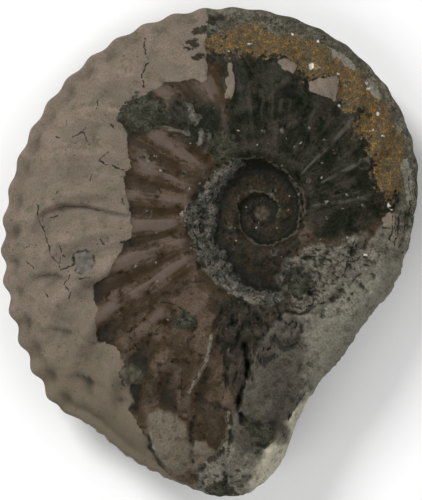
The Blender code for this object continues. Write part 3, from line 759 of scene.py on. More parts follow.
def turnedOffset(x, y, centre, halfA, halfB, lean):
    cosLean, sinLean = math.cos(math.radians(lean)), math.sin(math.radians(lean))
    dx, dy = x - centre[0], y - centre[1]
    return (dx * cosLean + dy * sinLean) / halfA, (dy * cosLean - dx * sinLean) / halfB


def lumpHeight(x, y, someLumps):
    total = np.zeros_like(x)
    for centre, halfA, halfB, lean, height in someLumps:
        outwards = np.hypot(*turnedOffset(x, y, centre, halfA, halfB, lean))
        total += height * (1.0 - smoothStep(*lumpEdge, outwards))
    return total


def scarHeight(x, y):
    total = np.zeros_like(x)
    for centre, radius, ringHeight, floorHeight in scars:
        away = np.hypot(x - centre[0], y - centre[1])
        width = scarShape["ringShare"] * radius + scarShape["ringWidth"]
        total += ringHeight * np.exp(-(((away - radius) / width) ** 2))
        total += floorHeight * (1.0 - smoothStep(scarShape["floorFrom"] * radius, radius, away))
    return total


def ridgeHeight(x, y, places):
    # they swell and fade along their way
    uneven = patchiness(places, "ridge")
    total = np.zeros_like(x)
    for points, halfWidth, height in ridges + tubes:
        total += height * uneven * np.exp(-((offsetToLine(x, y, points)[2] / halfWidth) ** 2))
    return total


def growthHeight(x, y):
    # each edge slopes up slowly and drops sharply on its younger side
    total = np.zeros_like(x)
    for points, width, height in growthEdges:
        _, stepY, gap = offsetToLine(x, y, points)
        older = smoothStep(-growth["softness"], growth["softness"], -stepY)
        total += height * older * np.exp(-((gap / (growth["olderReach"] * width)) ** 2))
        total -= growth["youngerDip"] * height * (1.0 - older) * np.exp(-((gap / width) ** 2))
    return total


def nearGranular(places):
    away = np.hypot(places[:, 0] - granular["centre"][0], places[:, 1] - granular["centre"][1])
    return 1.0 - smoothStep(*granular["reach"], away)


def veinHeight(places, depths):
    # winding cracks, where the noise passes through nothing
    total = np.zeros(len(places))
    for name, size, halfWidth, depth, shift in veins:
        there = smoothStep(*veinEdge, depths["matrix" if name == "granularStone" else name])
        if name == "granularStone":
            there = there * nearGranular(places)
        winding = cloudWhere(places, np.where(there > 0.0, 1.0, 0.0), size, 3, shift)
        total -= depth * there * np.exp(-((winding / halfWidth) ** 2))
    return total


def coverHeight(places, depths):
    total = np.zeros(len(places))
    for name, cover in covers.items():
        lying = smoothStep(*cover["edge"], depths[name])
        total += lying * cover["thickness"]
        total += cloudWhere(places, cover["roughness"] * lying, cover["lumpSize"])
    rough = nearGranular(places) * smoothStep(*covers["matrix"]["edge"], depths["matrix"])
    return total + cloudWhere(places, granular["roughness"] * rough, granular["lumpSize"], 4, 7.0)


def crustBelow(places, radius, direction):
    inside = radius / shoulderRadius(np.radians(direction))
    band = smoothStep(*crust["innerEdge"], inside) * (1.0 - smoothStep(*crust["outerEdge"], inside))
    lying = smoothStep(*crust["start"], direction) * (1.0 - smoothStep(*crust["end"], direction))
    lumpy = crust["mean"] + cloud(places, crust["lumpSize"], 1)
    return crust["below"] * crust["thickness"] * band * lying * lumpy


def moundHeight(x, y, places):
    outwards = np.hypot(*turnedOffset(x, y, mound["centre"], *mound["halfWidths"], mound["lean"]))
    outwards = outwards + mound["unevenness"] * cloud(places, mound["lumpSize"], 1)
    return mound["height"] * (1.0 - smoothStep(*mound["edge"], outwards))


ball = {
    "sectors": 640,
    "rings": 152,
    "cuts": 3,
    "lowerRings": 44,
    "edgeRings": 3.5,
    "crowding": 1.25,
    "edgeRounding": 0.010,
    "roundRadius": 30.0,
    "roundPower": 2.5,
    "underside": 40.0,  # how far off in the noise the lower flank is read
}

# Shares of the way to the rim over which the relief fades, and how rough the rim's outline is.
rim = {
    "beadsFrom": 0.86,
    "roughFrom": 0.90,
    "reliefFade": (0.94, 1.0),
    "growthFade": (0.90, 0.96),
    "coversRunOver": (0.90, 0.99),
    "brokenFrom": (222, 232),
    "wornUntil": (60, 100),
    "wornShare": 0.35,
    "roughness": 0.38,
    "lumpSize": 1.9,
}

# How far the covers and cracks stray from their outlines.
wander = {"reach": 0.45, "size": 1.7, "shifts": (21.0, 31.0)}


def makeBall():
    bpy.ops.object.select_all(action="DESELECT")
    cuts = ball["cuts"] + 1
    bpy.ops.mesh.primitive_uv_sphere_add(
        segments=ball["sectors"] // cuts, ring_count=ball["rings"] // cuts, radius=1.0
    )
    piece = bpy.context.object
    bpy.ops.object.mode_set(mode="EDIT")
    bpy.ops.mesh.select_all(action="SELECT")
    bpy.ops.mesh.subdivide(number_cuts=ball["cuts"])
    bpy.ops.object.mode_set(mode="OBJECT")
    return piece


def placesOf(mesh):
    places = np.empty(len(mesh.vertices) * 3, dtype=np.float32)
    mesh.vertices.foreach_get("co", places)
    return places.reshape(-1, 3).astype(float)


def coilBall(mesh):
    places = placesOf(mesh)
    longitude = np.arctan2(places[:, 1], places[:, 0])
    latitude = np.arctan2(places[:, 2], np.hypot(places[:, 0], places[:, 1]))
    direction = np.degrees(longitude) % 360.0
    level = (latitude / math.pi + 0.5) * ball["rings"]  # 0 at the lower pole
    above = level > ball["lowerRings"] - 0.5
    mostRings = np.where(above, ball["rings"] - ball["lowerRings"], ball["lowerRings"])
    ring = np.clip(np.where(above, ball["rings"] - level, level) / mostRings, 0.0, 1.0)
    flankRings = 1.0 - ball["edgeRings"] / mostRings
    inner = 1.0 - (1.0 - np.minimum(ring / flankRings, 1.0)) ** ball["crowding"]
    turnOver = np.clip((ring - flankRings) / (1.0 - flankRings), 0.0, 1.0) * math.pi / 2
    share = inner * (1.0 - ball["edgeRounding"]) + ball["edgeRounding"] * np.sin(turnOver)
    past = rimRadius(direction) - ball["roundRadius"]
    radius = ball["roundRadius"] * share + past * share ** ball["roundPower"]
    beads = keel["reach"] * beadStrength(direction) * (beadWave(np.radians(direction)) - 0.5)
    reach = radius + beads * smoothStep(rim["beadsFrom"], 1.0, share)
    x, y = reach * np.cos(longitude), reach * np.sin(longitude)
    flat = np.stack([x, y, np.where(above, 0.0, ball["underside"])], axis=-1)
    # the broken end and the worn right edge are rough all round
    worn = smoothStep(*rim["brokenFrom"], direction)
    worn = worn + rim["wornShare"] * (1.0 - smoothStep(*rim["wornUntil"], direction))
    rough = worn * smoothStep(rim["roughFrom"], 1.0, share) * rim["roughness"]
    outwards = cloudWhere(flat, rough, rim["lumpSize"], 4, 3.0)
    x, y = x + outwards * np.cos(longitude), y + outwards * np.sin(longitude)
    flat[:, 0], flat[:, 1] = x, y

    bare = coilHeight(radius, direction)
    fade = 1.0 - smoothStep(*rim["reliefFade"], share)
    wanderX, wanderY = (
        place + wander["reach"] * cloud(flat, wander["size"], 3, shift)
        for place, shift in zip((x, y), wander["shifts"])
    )
    depths = {name: zoneDepth(wanderX, wanderY, name) for name in outlines}
    upper = bare + (lumpHeight(x, y, lumps) + ridgeHeight(wanderX, wanderY, flat) + scarHeight(x, y)) * fade
    upper += (coverHeight(flat, depths) + veinHeight(flat, depths)) * fade
    onShell = smoothStep(*growth["onShell"], depths["shell"])
    upper += growthHeight(x, y) * onShell * (1.0 - smoothStep(*rim["growthFade"], share))
    inside = radius / shoulderRadius(np.radians(direction))
    filled = smoothStep(*crust["fillEdge"], depths["crust"]) * (1.0 - smoothStep(*crust["fillUntil"], inside))
    upper += crust["fill"] * filled
    under = bare + crustBelow(flat, radius, direction) + lumpHeight(x, y, underLumps) * fade
    under = under + underRoughness["height"] * cloud(flat, underRoughness["lumpSize"], 4, 11.0) * fade
    onMound = moundHeight(x, y, np.stack([x, y, 0.0 * x], axis=-1))
    moundDepth = onMound - under
    under = np.minimum(np.maximum(under, onMound), coil["place"][2])
    z = np.where(above, upper, -under) * np.cos(turnOver)
    shaped = (np.stack([x, y, z], axis=-1) + coil["place"]) * mm
    mesh.vertices.foreach_set("co", shaped.astype(np.float32).ravel())
    mesh.update()
    return {"x": x, "y": y, "radius": radius, "direction": direction, "above": above, "share": share,
            "depths": depths, "flat": flat, "moundDepth": moundDepth, "wanderX": wanderX, "wanderY": wanderY}


def numberLayer(mesh, name, values):
    layer = mesh.attributes.new(name, "FLOAT", "POINT")
    layer.data.foreach_set("value", np.asarray(values, dtype=np.float32))


def linesLayer(mesh, name, shape, lines):
    # the step to the nearest line, and its length, which stays long where the step swings from line to line
    offsets = np.array([offsetToLine(shape["wanderX"], shape["wanderY"], points) for points in lines])
    nearest = offsets[:, 2].argmin(axis=0)
    steps = offsets[nearest, :, np.arange(len(nearest))]
    steps[~shape["above"]] = 9.0
    layer = mesh.attributes.new(name, "FLOAT_VECTOR", "POINT")
    layer.data.foreach_set("vector", steps.astype(np.float32).ravel())


# How widely a vertex is compared with those round it, and how much less the shell's hollows show. The hollow
# layer carries painted shade in hollows and a painted highlight on crests.
hollows = {"rounds": 14, "onShell": (-0.2, 0.4), "shellLoss": 0.65}


def hollowness(mesh, rounds):
    # how far each vertex lies below the surface round it
    places = placesOf(mesh)
    heights = places[:, 2] / mm
    edges = np.empty(len(mesh.edges) * 2, dtype=np.int32)
    mesh.edges.foreach_get("vertices", edges)
    first, second = edges[0::2], edges[1::2]
    count = np.bincount(edges, minlength=len(heights))
    smooth = heights.copy()
    for _ in range(rounds):
        total = np.bincount(first, weights=smooth[second], minlength=len(heights))
        total += np.bincount(second, weights=smooth[first], minlength=len(heights))
        smooth = total / count
    return smooth - heights


# How the ribs show in the colour. Their crests are plainest on the older half, and broken up everywhere.
crestLook = {
    "lessPlain": (205, 232),
    "plainLoss": 0.65,
    "patchSize": 4.5,
    "patchSwing": (0.95, 0.8, 0.25, 1.2),  # mean, swing, least and most
    "patchTint": 0.20,
    "streakTint": 0.34,
}

# Fine lines along the ribs: how close they lie, and how they stray.
streakLook = {"perRib": 9.0, "perFlank": 4.0, "straying": 0.10, "strayingSize": 5.0}

# Thin pale lines on the crests, clearest to the right of the umbilicus.
crestLineLook = {
    "width": (0.93, 0.998),
    "clearUntil": (48, 62),
    "elsewhere": 0.35,
    "start": (0.0, 0.08),
    "end": (0.55, 0.75),
    "strength": 0.8,
    "streakStrength": 0.35,
    "streaksFrom": 0.12,
}

# Painted shade between the keel's beads: the band's width in from the rim, and how narrow it is between the
# beads.
keelBeadShadeLook = {"width": (1.2, 2.8), "betweenBeads": 1.5}


def ribCrests(shape):
    # 1 on the crest of a rib and 0 in the hollow, on the whorl that shows
    turn = np.radians(shape["direction"])
    radius, direction = shape["radius"], shape["direction"]
    ramp = rampShare(radius, direction)
    crests = np.zeros_like(radius)
    for someTurn, part in ((turn, 1.0 - ramp), (turn - fullTurn, ramp)):
        share = flankShare(radius, someTurn, direction)
        crests += part * (0.5 + (ribWave(someTurn, share) - 0.5) * ribStrength(share))
    plain = 1.0 - crestLook["plainLoss"] * smoothStep(*crestLook["lessPlain"], direction)
    patchy = cloud(shape["flat"], crestLook["patchSize"], 3, 14.0)
    mean, swing, least, most = crestLook["patchSwing"]
    broken = (crests - 0.5) * plain * np.clip(mean + swing * patchy, least, most)
    lines = crestLook["streakTint"] * plain * streaks(shape)
    return 0.5 + broken + crestLook["patchTint"] * patchy + lines


def streaks(shape):
    turn = np.radians(shape["direction"])
    share = flankShare(shape["radius"], turn, shape["direction"])
    along = ribsPassed(turn - ribSweep(share))
    along = along + streakLook["straying"] * cloud(shape["flat"], streakLook["strayingSize"], 2, 44.0)
    across, outwards = streakLook["perRib"] * along, streakLook["perFlank"] * share
    places = np.stack([across, outwards, np.where(shape["above"], 0.0, 30.0)], axis=-1)
    return cloud(places, 1.0, 3, 81.0) * smoothStep(0.0, 0.12, share) * (1.0 - smoothStep(0.8, 0.95, share))


def keelBeadShade(shape):
    # painted brown shade between the beads of the keel, uneven in strength
    direction = shape["direction"]
    inwards = rimRadius(direction) - shape["radius"]
    band = 1.0 - smoothStep(*keelBeadShadeLook["width"], inwards)
    between = (1.0 - beadWave(np.radians(direction))) ** keelBeadShadeLook["betweenBeads"]
    return band * patchiness(shape["flat"], "keelBeadShade") * beadStrength(direction) * between


def crestLines(shape):
    look, turn = crestLineLook, np.radians(shape["direction"])
    share = flankShare(shape["radius"], turn, shape["direction"])
    line = smoothStep(*look["width"], ribWave(turn, share))
    near = 1.0 - smoothStep(*look["clearUntil"], shape["direction"])
    clear = look["elsewhere"] + (1.0 - look["elsewhere"]) * near
    along = smoothStep(*look["start"], share) * (1.0 - smoothStep(*look["end"], share))
    worn = look["strength"] * line * clear * along * patchiness(shape["flat"], "crestLine")
    fine = look["streakStrength"] * np.maximum(streaks(shape) - look["streaksFrom"], 0.0)
    return np.clip(worn + fine, 0.0, 1.0)


# The lower flank's own patches: mean depth, its swing, and the noise's size, octaves and shift.
belowPatches = {
    "shell": (2.0, 7.0, 24.0, 3, 5.0),
    "darkMould": (0.0, 9.0, 30.0, 2, 9.0),
    "green": (-2.5, 6.0, 9.0, 3, 2.0),
    "gold": (-4.0, 8.0, 16.0, 3, 8.0),
}
belowStone = {"umbilicus": 0.80, "crustHalfWidth": 1.2, "pastMound": 0.8, "offMound": 0.5,
              "brokenEnd": (268, 330), "brokenSlope": 0.3}


def belowDepths(shape):
    direction = shape["direction"]
    depths = {name: np.full_like(direction, farOutside) for name in outlines}
    for name, (mean, swing, size, octaves, shift) in belowPatches.items():
        depths[name] = mean + swing * cloud(shape["flat"], size, octaves, shift)
    depths["shell"] = np.minimum(depths["shell"], -belowStone["offMound"] - shape["moundDepth"])
    depths["umbilicus"] = shoulderRadius(np.radians(direction)) * belowStone["umbilicus"] - shape["radius"]
    halfWidth = belowStone["crustHalfWidth"]
    depths["crust"] = halfWidth - np.abs(depths["umbilicus"] + halfWidth)
    start, end = belowStone["brokenEnd"]
    brokenEnd = (direction - start) * belowStone["brokenSlope"] * (direction < end)
    depths["matrix"] = np.maximum(shape["moundDepth"] + belowStone["pastMound"], brokenEnd)
    return depths


def spotDepth(shape, spots):
    # how far inside the nearest spot
    deepest = np.full_like(shape["x"], farOutside)
    for spot in spots:
        centre, halfA, halfB, lean = spot if len(spot) == 4 else (spot[0], spot[1], spot[1], 0)
        outwards = np.hypot(*turnedOffset(shape["wanderX"], shape["wanderY"], centre, halfA, halfB, lean))
        deepest = np.maximum(deepest, (1.0 - outwards) * min(halfA, halfB))
    return np.where(shape["above"], deepest, farOutside)


def scarDepth(shape):
    deepest = np.full_like(shape["x"], farOutside)
    for centre, radius, *_ in scars:
        away = np.hypot(shape["x"] - centre[0], shape["y"] - centre[1])
        width = scarShape["lineShare"] * radius + scarShape["lineWidth"]
        deepest = np.maximum(deepest, width - np.abs(away - radius))
    return np.where(shape["above"], deepest, farOutside)


def lipDepth(shape):
    deepest = np.full_like(shape["x"], farOutside)
    for points in lips:
        gap = offsetToLine(shape["x"], shape["y"], points)[2]
        deepest = np.maximum(deepest, lipHalfWidth - gap)
    return np.where(shape["above"], deepest, farOutside)


def scatteredGlints():
    # painted glints: tiny spots of painted highlight over the bare stone
    chance = random.Random(glints["seed"])
    spots = []
    for _ in range(glints["count"]):
        direction = math.radians(chance.uniform(*glints["directions"]))
        away = chance.uniform(*glints["radii"])
        halfA = chance.uniform(*glints["halfWidths"])
        centre = (away * math.cos(direction), away * math.sin(direction))
        spots.append((centre, halfA, glints["slimness"] * halfA, chance.uniform(0, 180)))
    return spots


def spotLayers(mesh, shape):
    # one depth for all small spots, and the colour of the one on top, with its fullness as alpha
    depth = np.full_like(shape["x"], farOutside)
    colours = np.tile(accents["scar"], (len(shape["x"]), 1))
    spots = {"leaf": leaves, "disc": discs, "nodule": nodules, "nucleus": nucleus, "gloss": glossySpots,
             "whiteSpeck": whiteSpecks, "glint": scatteredGlints()}
    kinds = {"scar": scarDepth(shape), "lip": lipDepth(shape)}
    kinds.update((name, spotDepth(shape, places)) for name, places in spots.items())
    for name, own in kinds.items():
        onTop = (own > depth) | (own > 0.0)
        depth = np.where(onTop, own, depth)
        colours[onTop] = accents[name]
    colours[:, :3] *= patchiness(shape["flat"], "spot")[:, None]
    numberLayer(mesh, "spot", depth)
    layer = mesh.attributes.new("spotColour", "FLOAT_COLOR", "POINT")
    layer.data.foreach_set("color", colours.astype(np.float32).ravel())


def coveredValue(shape, name):
    # the value of whichever cover lies on top
    value = np.full_like(shape["x"], finishes["brownMould"][name])
    for cover, *_, softness in layering:
        share = smoothStep(-softness, softness, shape["depths"][cover])
        value += (finishes[cover][name] - value) * share
    return value


def makeFossil():
    fossil = makeBall()
    fossil.name = "stoneAmmonite"
    mesh = fossil.data
    shape = coilBall(mesh)
    print("coil shaped")
    below = belowDepths(shape)
    nearRim = smoothStep(*rim["coversRunOver"], shape["share"])
    for name, depth in shape["depths"].items():
        depth = np.where(shape["above"], depth, below[name] + (depth - below[name]) * nearRim)
        shape["depths"][name] = depth
        numberLayer(mesh, name, np.clip(depth, farOutside, -farOutside))
    for name in ("roughness", "grain"):
        numberLayer(mesh, name, coveredValue(shape, name))
    numberLayer(mesh, "ribCrest", ribCrests(shape))
    numberLayer(mesh, "crestLine", crestLines(shape))
    onShell = smoothStep(*hollows["onShell"], shape["depths"]["shell"])
    hollow = hollowness(mesh, hollows["rounds"]) * (1.0 - hollows["shellLoss"] * onShell)
    numberLayer(mesh, "hollow", hollow)
    # painted shade between the keel's beads
    numberLayer(mesh, "keelBeadShade", keelBeadShade(shape))
    spotLayers(mesh, shape)
    linesLayer(mesh, "crack", shape, cracks)
    linesLayer(mesh, "paleEdge", shape, [line[0] for line in tubes])
    bpy.ops.object.shade_smooth()
    return fossil


def plug(tree, socket, value):
    if isinstance(value, bpy.types.NodeSocket):
        tree.links.new(value, socket)
    else:
        socket.default_value = value


def calculate(tree, operation, first, second=0.0):
    node = tree.nodes.new("ShaderNodeMath")
    node.operation = operation
    plug(tree, node.inputs[0], first)
    plug(tree, node.inputs[1], second)
    return node.outputs[0]


def moveBy(tree, operation, first, second):
    node = tree.nodes.new("ShaderNodeVectorMath")
    node.operation = operation
    plug(tree, node.inputs[0], first)
    plug(tree, node.inputs["Scale"] if operation == "SCALE" else node.inputs[1], second)
    return node.outputs["Value"] if operation == "LENGTH" else node.outputs[0]


def easeBetween(tree, value, low, high, start=0.0, end=1.0):
    node = tree.nodes.new("ShaderNodeMapRange")
    node.interpolation_type = "SMOOTHSTEP"
    for socket, number in zip(node.inputs, (value, low, high, start, end)):
        plug(tree, socket, number)
    return node.outputs[0]


def mixColour(tree, share, under, over, kind="MIX"):
    node = tree.nodes.new("ShaderNodeMix")
    node.data_type = "RGBA"
    node.blend_type = kind
    plug(tree, node.inputs[0], share)
    plug(tree, node.inputs[6], under)
    plug(tree, node.inputs[7], over)
    return node.outputs[2]


def noiseOver(tree, places, detail, roughness=0.5):
    node = tree.nodes.new("ShaderNodeTexNoise")
    tree.links.new(places, node.inputs["Vector"])
    node.inputs["Scale"].default_value = 1.0
    node.inputs["Detail"].default_value = detail
    node.inputs["Roughness"].default_value = roughness
    return node.outputs["Fac"]


def millimetres(tree, seed=None):
    # the place on the piece in millimetres, shifted so that each use has its own pattern
    places = tree.nodes.new("ShaderNodeTexCoord").outputs["Object"]
    places = moveBy(tree, "SCALE", places, 1000.0)
    if seed is None:
        return places
    shift = tree.nodes.new("ShaderNodeCombineXYZ")
    for socket, share in zip(shift.inputs, (17.0, -11.0, 5.0)):
        tree.links.new(calculate(tree, "MULTIPLY", seed, share), socket)
    return moveBy(tree, "ADD", places, shift.outputs[0])


def newGroup(name, inputs, outputs):
    group = bpy.data.node_groups.new(name, "ShaderNodeTree")
    for label, kind, value in inputs:
        group.interface.new_socket(label, in_out="INPUT", socket_type=kind).default_value = value
    for label, kind in outputs:
        group.interface.new_socket(label, in_out="OUTPUT", socket_type=kind)
    return group, group.nodes.new("NodeGroupInput").outputs, group.nodes.new("NodeGroupOutput").inputs


# How the patterns of the stone come out of their noise.
patterns = {
    "patchEdge": (0.42, 0.62),
    "stainEdge": (0.50, 0.68),
    "stainScale": 1.9,
    "grainSwing": 3.0,
    "darkestGrain": -0.9,
    "edgeSwing": 4.0,
    "lineNear": (0.5, 0.9),
    "lineUneven": (0.36, 0.62, 0.05, 1.6),
    "lineCore": 0.4,
    "wobbleScale": 2.5,
    "wobble": 0.25,
    "freckleEdge": 0.15,
}


def makeMottle():
    # stone of three colours in patches, with a fine grain
    number, colour = "NodeSocketFloat", "NodeSocketColor"
    group, given, made = newGroup(
        "stoneMottle",
        (("Main", colour, (0.2, 0.2, 0.2, 1)), ("Patch", colour, (0.1, 0.1, 0.1, 1)),
         ("Stain", colour, (0.05, 0.05, 0.05, 1)), ("Patch Size", number, 3.0), ("Grain Size", number, 0.4),
         ("Grain Contrast", number, 0.5), ("Seed", number, 0.0)),
        (("Colour", colour),),
    )
    places = millimetres(group, given["Seed"])
    patchPlaces = moveBy(group, "SCALE", places, calculate(group, "DIVIDE", 1.0, given["Patch Size"]))
    blotches = noiseOver(group, patchPlaces, 4.0, 0.6)
    stains = noiseOver(group, moveBy(group, "SCALE", patchPlaces, patterns["stainScale"]), 4.0, 0.6)
    grainPlaces = moveBy(group, "SCALE", places, calculate(group, "DIVIDE", 1.0, given["Grain Size"]))
    grain = noiseOver(group, grainPlaces, 2.0, 0.7)
    unpatched = easeBetween(group, blotches, *patterns["patchEdge"])
    base = mixColour(group, unpatched, given["Patch"], given["Main"])
    base = mixColour(group, easeBetween(group, stains, *patterns["stainEdge"]), base, given["Stain"])
    swing = calculate(group, "MULTIPLY", calculate(group, "SUBTRACT", grain, 0.5), given["Grain Contrast"])
    swing = calculate(group, "MULTIPLY", swing, patterns["grainSwing"])
    swing = calculate(group, "MAXIMUM", swing, patterns["darkestGrain"])
    group.links.new(moveBy(group, "SCALE", base, calculate(group, "ADD", swing, 1.0)), made["Colour"])
    return group


def makeRaggedEdge():
    # a mask that ends in an uneven outline
    number = "NodeSocketFloat"
    group, given, made = newGroup(
        "raggedEdge",
        (("Depth", number, 0.0), ("Wander", number, 0.5), ("Wander Size", number, 1.0),
         ("Softness", number, 0.2), ("Seed", number, 0.0)),
        (("Mask", number),),
    )
    places = millimetres(group, given["Seed"])
    places = moveBy(group, "SCALE", places, calculate(group, "DIVIDE", 1.0, given["Wander Size"]))
    swing = calculate(group, "SUBTRACT", noiseOver(group, places, 3.0, 0.6), 0.5)
    swing = calculate(group, "MULTIPLY", swing, patterns["edgeSwing"])
    depth = calculate(group, "ADD", given["Depth"], calculate(group, "MULTIPLY", swing, given["Wander"]))
    outside = calculate(group, "MULTIPLY", given["Softness"], -1.0)
    group.links.new(easeBetween(group, depth, outside, given["Softness"]), made["Mask"])
    return group


def makeHairline():
    # a fine line of uneven width, where the step to it is short
    number = "NodeSocketFloat"
    group, given, made = newGroup(
        "hairline",
        (("Step", "NodeSocketVector", (0.0, 0.0, 0.0)), ("Half Width", number, 0.1), ("Seed", number, 0.0)),
        (("Mask", number),),
    )
    parts = group.nodes.new("ShaderNodeSeparateXYZ")
    group.links.new(given["Step"], parts.inputs[0])
    squares = [calculate(group, "POWER", part, 2.0) for part in parts.outputs[:2]]
    across = calculate(group, "SQRT", calculate(group, "ADD", *squares))
    near = easeBetween(group, parts.outputs[2], *patterns["lineNear"], 1.0, 0.0)
    places = millimetres(group, given["Seed"])
    uneven = easeBetween(group, noiseOver(group, places, 3.0, 0.7), *patterns["lineUneven"])
    width = calculate(group, "MULTIPLY", given["Half Width"], uneven)
    core = calculate(group, "MULTIPLY", width, patterns["lineCore"])
    line = easeBetween(group, across, core, width, 1.0, 0.0)
    group.links.new(calculate(group, "MULTIPLY", line, near), made["Mask"])
    return group


def makeFreckles():
    # small spots scattered over the stone
    number = "NodeSocketFloat"
    group, given, made = newGroup(
        "freckles",
        (("Spacing", number, 1.0), ("Share", number, 0.3), ("Fullness", number, 0.35), ("Seed", number, 0.0)),
        (("Mask", number),),
    )
    places = millimetres(group, given["Seed"])
    wobble = noiseOver(group, moveBy(group, "SCALE", places, patterns["wobbleScale"]), 2.0)
    cells = group.nodes.new("ShaderNodeTexVoronoi")
    cells.inputs["Scale"].default_value = 1.0
    spaced = moveBy(group, "SCALE", places, calculate(group, "DIVIDE", 1.0, given["Spacing"]))
    group.links.new(spaced, cells.inputs["Vector"])
    wobble = calculate(group, "MULTIPLY", wobble, patterns["wobble"])
    away = calculate(group, "ADD", cells.outputs["Distance"], wobble)
    outer = calculate(group, "ADD", given["Fullness"], patterns["freckleEdge"])
    spot = easeBetween(group, away, given["Fullness"], outer, 1.0, 0.0)
    chosen = group.nodes.new("ShaderNodeSeparateColor")
    group.links.new(cells.outputs["Color"], chosen.inputs[0])
    picked = calculate(group, "LESS_THAN", chosen.outputs[0], given["Share"])
    group.links.new(calculate(group, "MULTIPLY", spot, picked), made["Mask"])
    return group


def placeGroup(tree, group, **values):
    node = tree.nodes.new("ShaderNodeGroup")
    node.node_tree = group
    for label, value in values.items():
        name = "".join(" " + letter if letter.isupper() else letter for letter in label).strip().title()
        plug(tree, node.inputs[name], value)
    return node.outputs


def layerValue(tree, name, output="Fac"):
    node = tree.nodes.new("ShaderNodeAttribute")
    node.attribute_name = name
    return node.outputs[output]


# Each has its main colour, then those of its patches and stains. Sizes and the grain's height are in
# millimetres.
finishes = {
    "brownMould": {"colours": ((0.090, 0.064, 0.045), (0.047, 0.031, 0.017), (0.019, 0.011, 0.004)),
                  "patch": 3.4, "speckle": 0.3, "contrast": 0.65, "grain": 0.05, "roughness": 0.45},
    "darkMould": {"colours": ((0.029, 0.026, 0.018), (0.009, 0.011, 0.005), (0.002, 0.004, 0.001)),
                 "patch": 4.0, "speckle": 0.32, "contrast": 1.1, "grain": 0.09, "roughness": 0.4},
    "umbilicus": {"colours": ((0.034, 0.023, 0.014), (0.016, 0.015, 0.009), (0.006, 0.007, 0.004)),
                 "patch": 1.8, "speckle": 0.34, "contrast": 1.0, "grain": 0.08, "roughness": 0.42},
    "fissured": {"colours": ((0.044, 0.035, 0.025), (0.019, 0.016, 0.011), (0.006, 0.006, 0.004)),
                "patch": 1.9, "speckle": 0.34, "contrast": 0.8, "grain": 0.09, "roughness": 0.55},
    "lobes": {"colours": ((0.080, 0.070, 0.056), (0.058, 0.052, 0.040), (0.034, 0.033, 0.024)),
             "patch": 2.6, "speckle": 0.36, "contrast": 0.55, "grain": 0.06, "roughness": 0.62},
    "paleLobe": {"colours": ((0.140, 0.120, 0.088), (0.112, 0.094, 0.066), (0.066, 0.053, 0.034)),
                 "patch": 3.2, "speckle": 0.42, "contrast": 0.40, "grain": 0.04, "roughness": 0.5},
    "rimStone": {"colours": ((0.118, 0.108, 0.082), (0.062, 0.058, 0.042), (0.030, 0.030, 0.021)),
                "patch": 1.8, "speckle": 0.32, "contrast": 1.0, "grain": 0.1, "roughness": 0.66},
    "matrix": {"colours": ((0.175, 0.155, 0.125), (0.106, 0.098, 0.075), (0.028, 0.030, 0.021)),
              "patch": 2.2, "speckle": 0.36, "contrast": 0.65, "grain": 0.09, "roughness": 0.72},
    "plate": {"colours": ((0.050, 0.037, 0.023), (0.034, 0.023, 0.012), (0.016, 0.011, 0.006)),
             "patch": 1.8, "speckle": 0.36, "contrast": 0.6, "grain": 0.06, "roughness": 0.5},
    "smoothMatrix": {"colours": ((0.186, 0.178, 0.138), (0.158, 0.152, 0.116), (0.104, 0.096, 0.070)),
                    "patch": 3.0, "speckle": 0.36, "contrast": 0.6, "grain": 0.05, "roughness": 0.66},
    "paleRemnant": {"colours": ((0.205, 0.192, 0.155), (0.165, 0.155, 0.122), (0.100, 0.096, 0.074)),
                    "patch": 1.8, "speckle": 0.36, "contrast": 0.60, "grain": 0.07, "roughness": 0.66},
    "calcite": {"colours": ((0.440, 0.410, 0.310), (0.360, 0.335, 0.255), (0.240, 0.220, 0.165)),
               "patch": 2.2, "speckle": 0.4, "contrast": 0.28, "grain": 0.04, "roughness": 0.5},
    "gold": {"colours": ((0.070, 0.061, 0.039), (0.104, 0.072, 0.034), (0.218, 0.114, 0.027)),
            "patch": 1.5, "speckle": 0.24, "contrast": 1.1, "grain": 0.14, "roughness": 0.78},
    "shell": {"colours": ((0.194, 0.152, 0.120), (0.160, 0.128, 0.098), (0.124, 0.108, 0.077)),
             "patch": 4.5, "speckle": 0.24, "contrast": 0.5, "grain": 0.05, "roughness": 0.5},
    "crust": {"colours": ((0.142, 0.126, 0.105), (0.054, 0.055, 0.044), (0.005, 0.007, 0.004)),
             "patch": 1.7, "speckle": 0.32, "contrast": 1.0, "grain": 0.14, "roughness": 0.82},
    "green": {"colours": ((0.058, 0.056, 0.040), (0.028, 0.029, 0.019), (0.009, 0.011, 0.006)),
             "patch": 1.7, "speckle": 0.34, "contrast": 0.9, "grain": 0.11, "roughness": 0.8},
}

# From the bottom cover up: how far its edge wanders, over what size, and how softly it ends.
layering = (
    ("darkMould", 0.9, 2.5, 1.1),
    ("umbilicus", 0.3, 1.5, 0.35),
    ("fissured", 0.8, 2.0, 0.8),
    ("matrix", 0.6, 1.6, 0.45),
    ("lobes", 0.8, 2.2, 1.0),
    ("paleLobe", 0.5, 1.6, 0.5),
    ("plate", 0.3, 1.2, 0.25),
    ("smoothMatrix", 1.2, 3.0, 1.8),
    ("calcite", 0.7, 2.5, 0.9),
    ("rimStone", 0.9, 1.6, 0.7),
    ("gold", 2.0, 0.8, 0.5),
    ("paleRemnant", 0.35, 0.8, 0.2),
    ("shell", 0.16, 0.8, 0.07),
    ("crust", 0.35, 0.9, 0.25),
    ("green", 0.9, 1.5, 0.25),
)
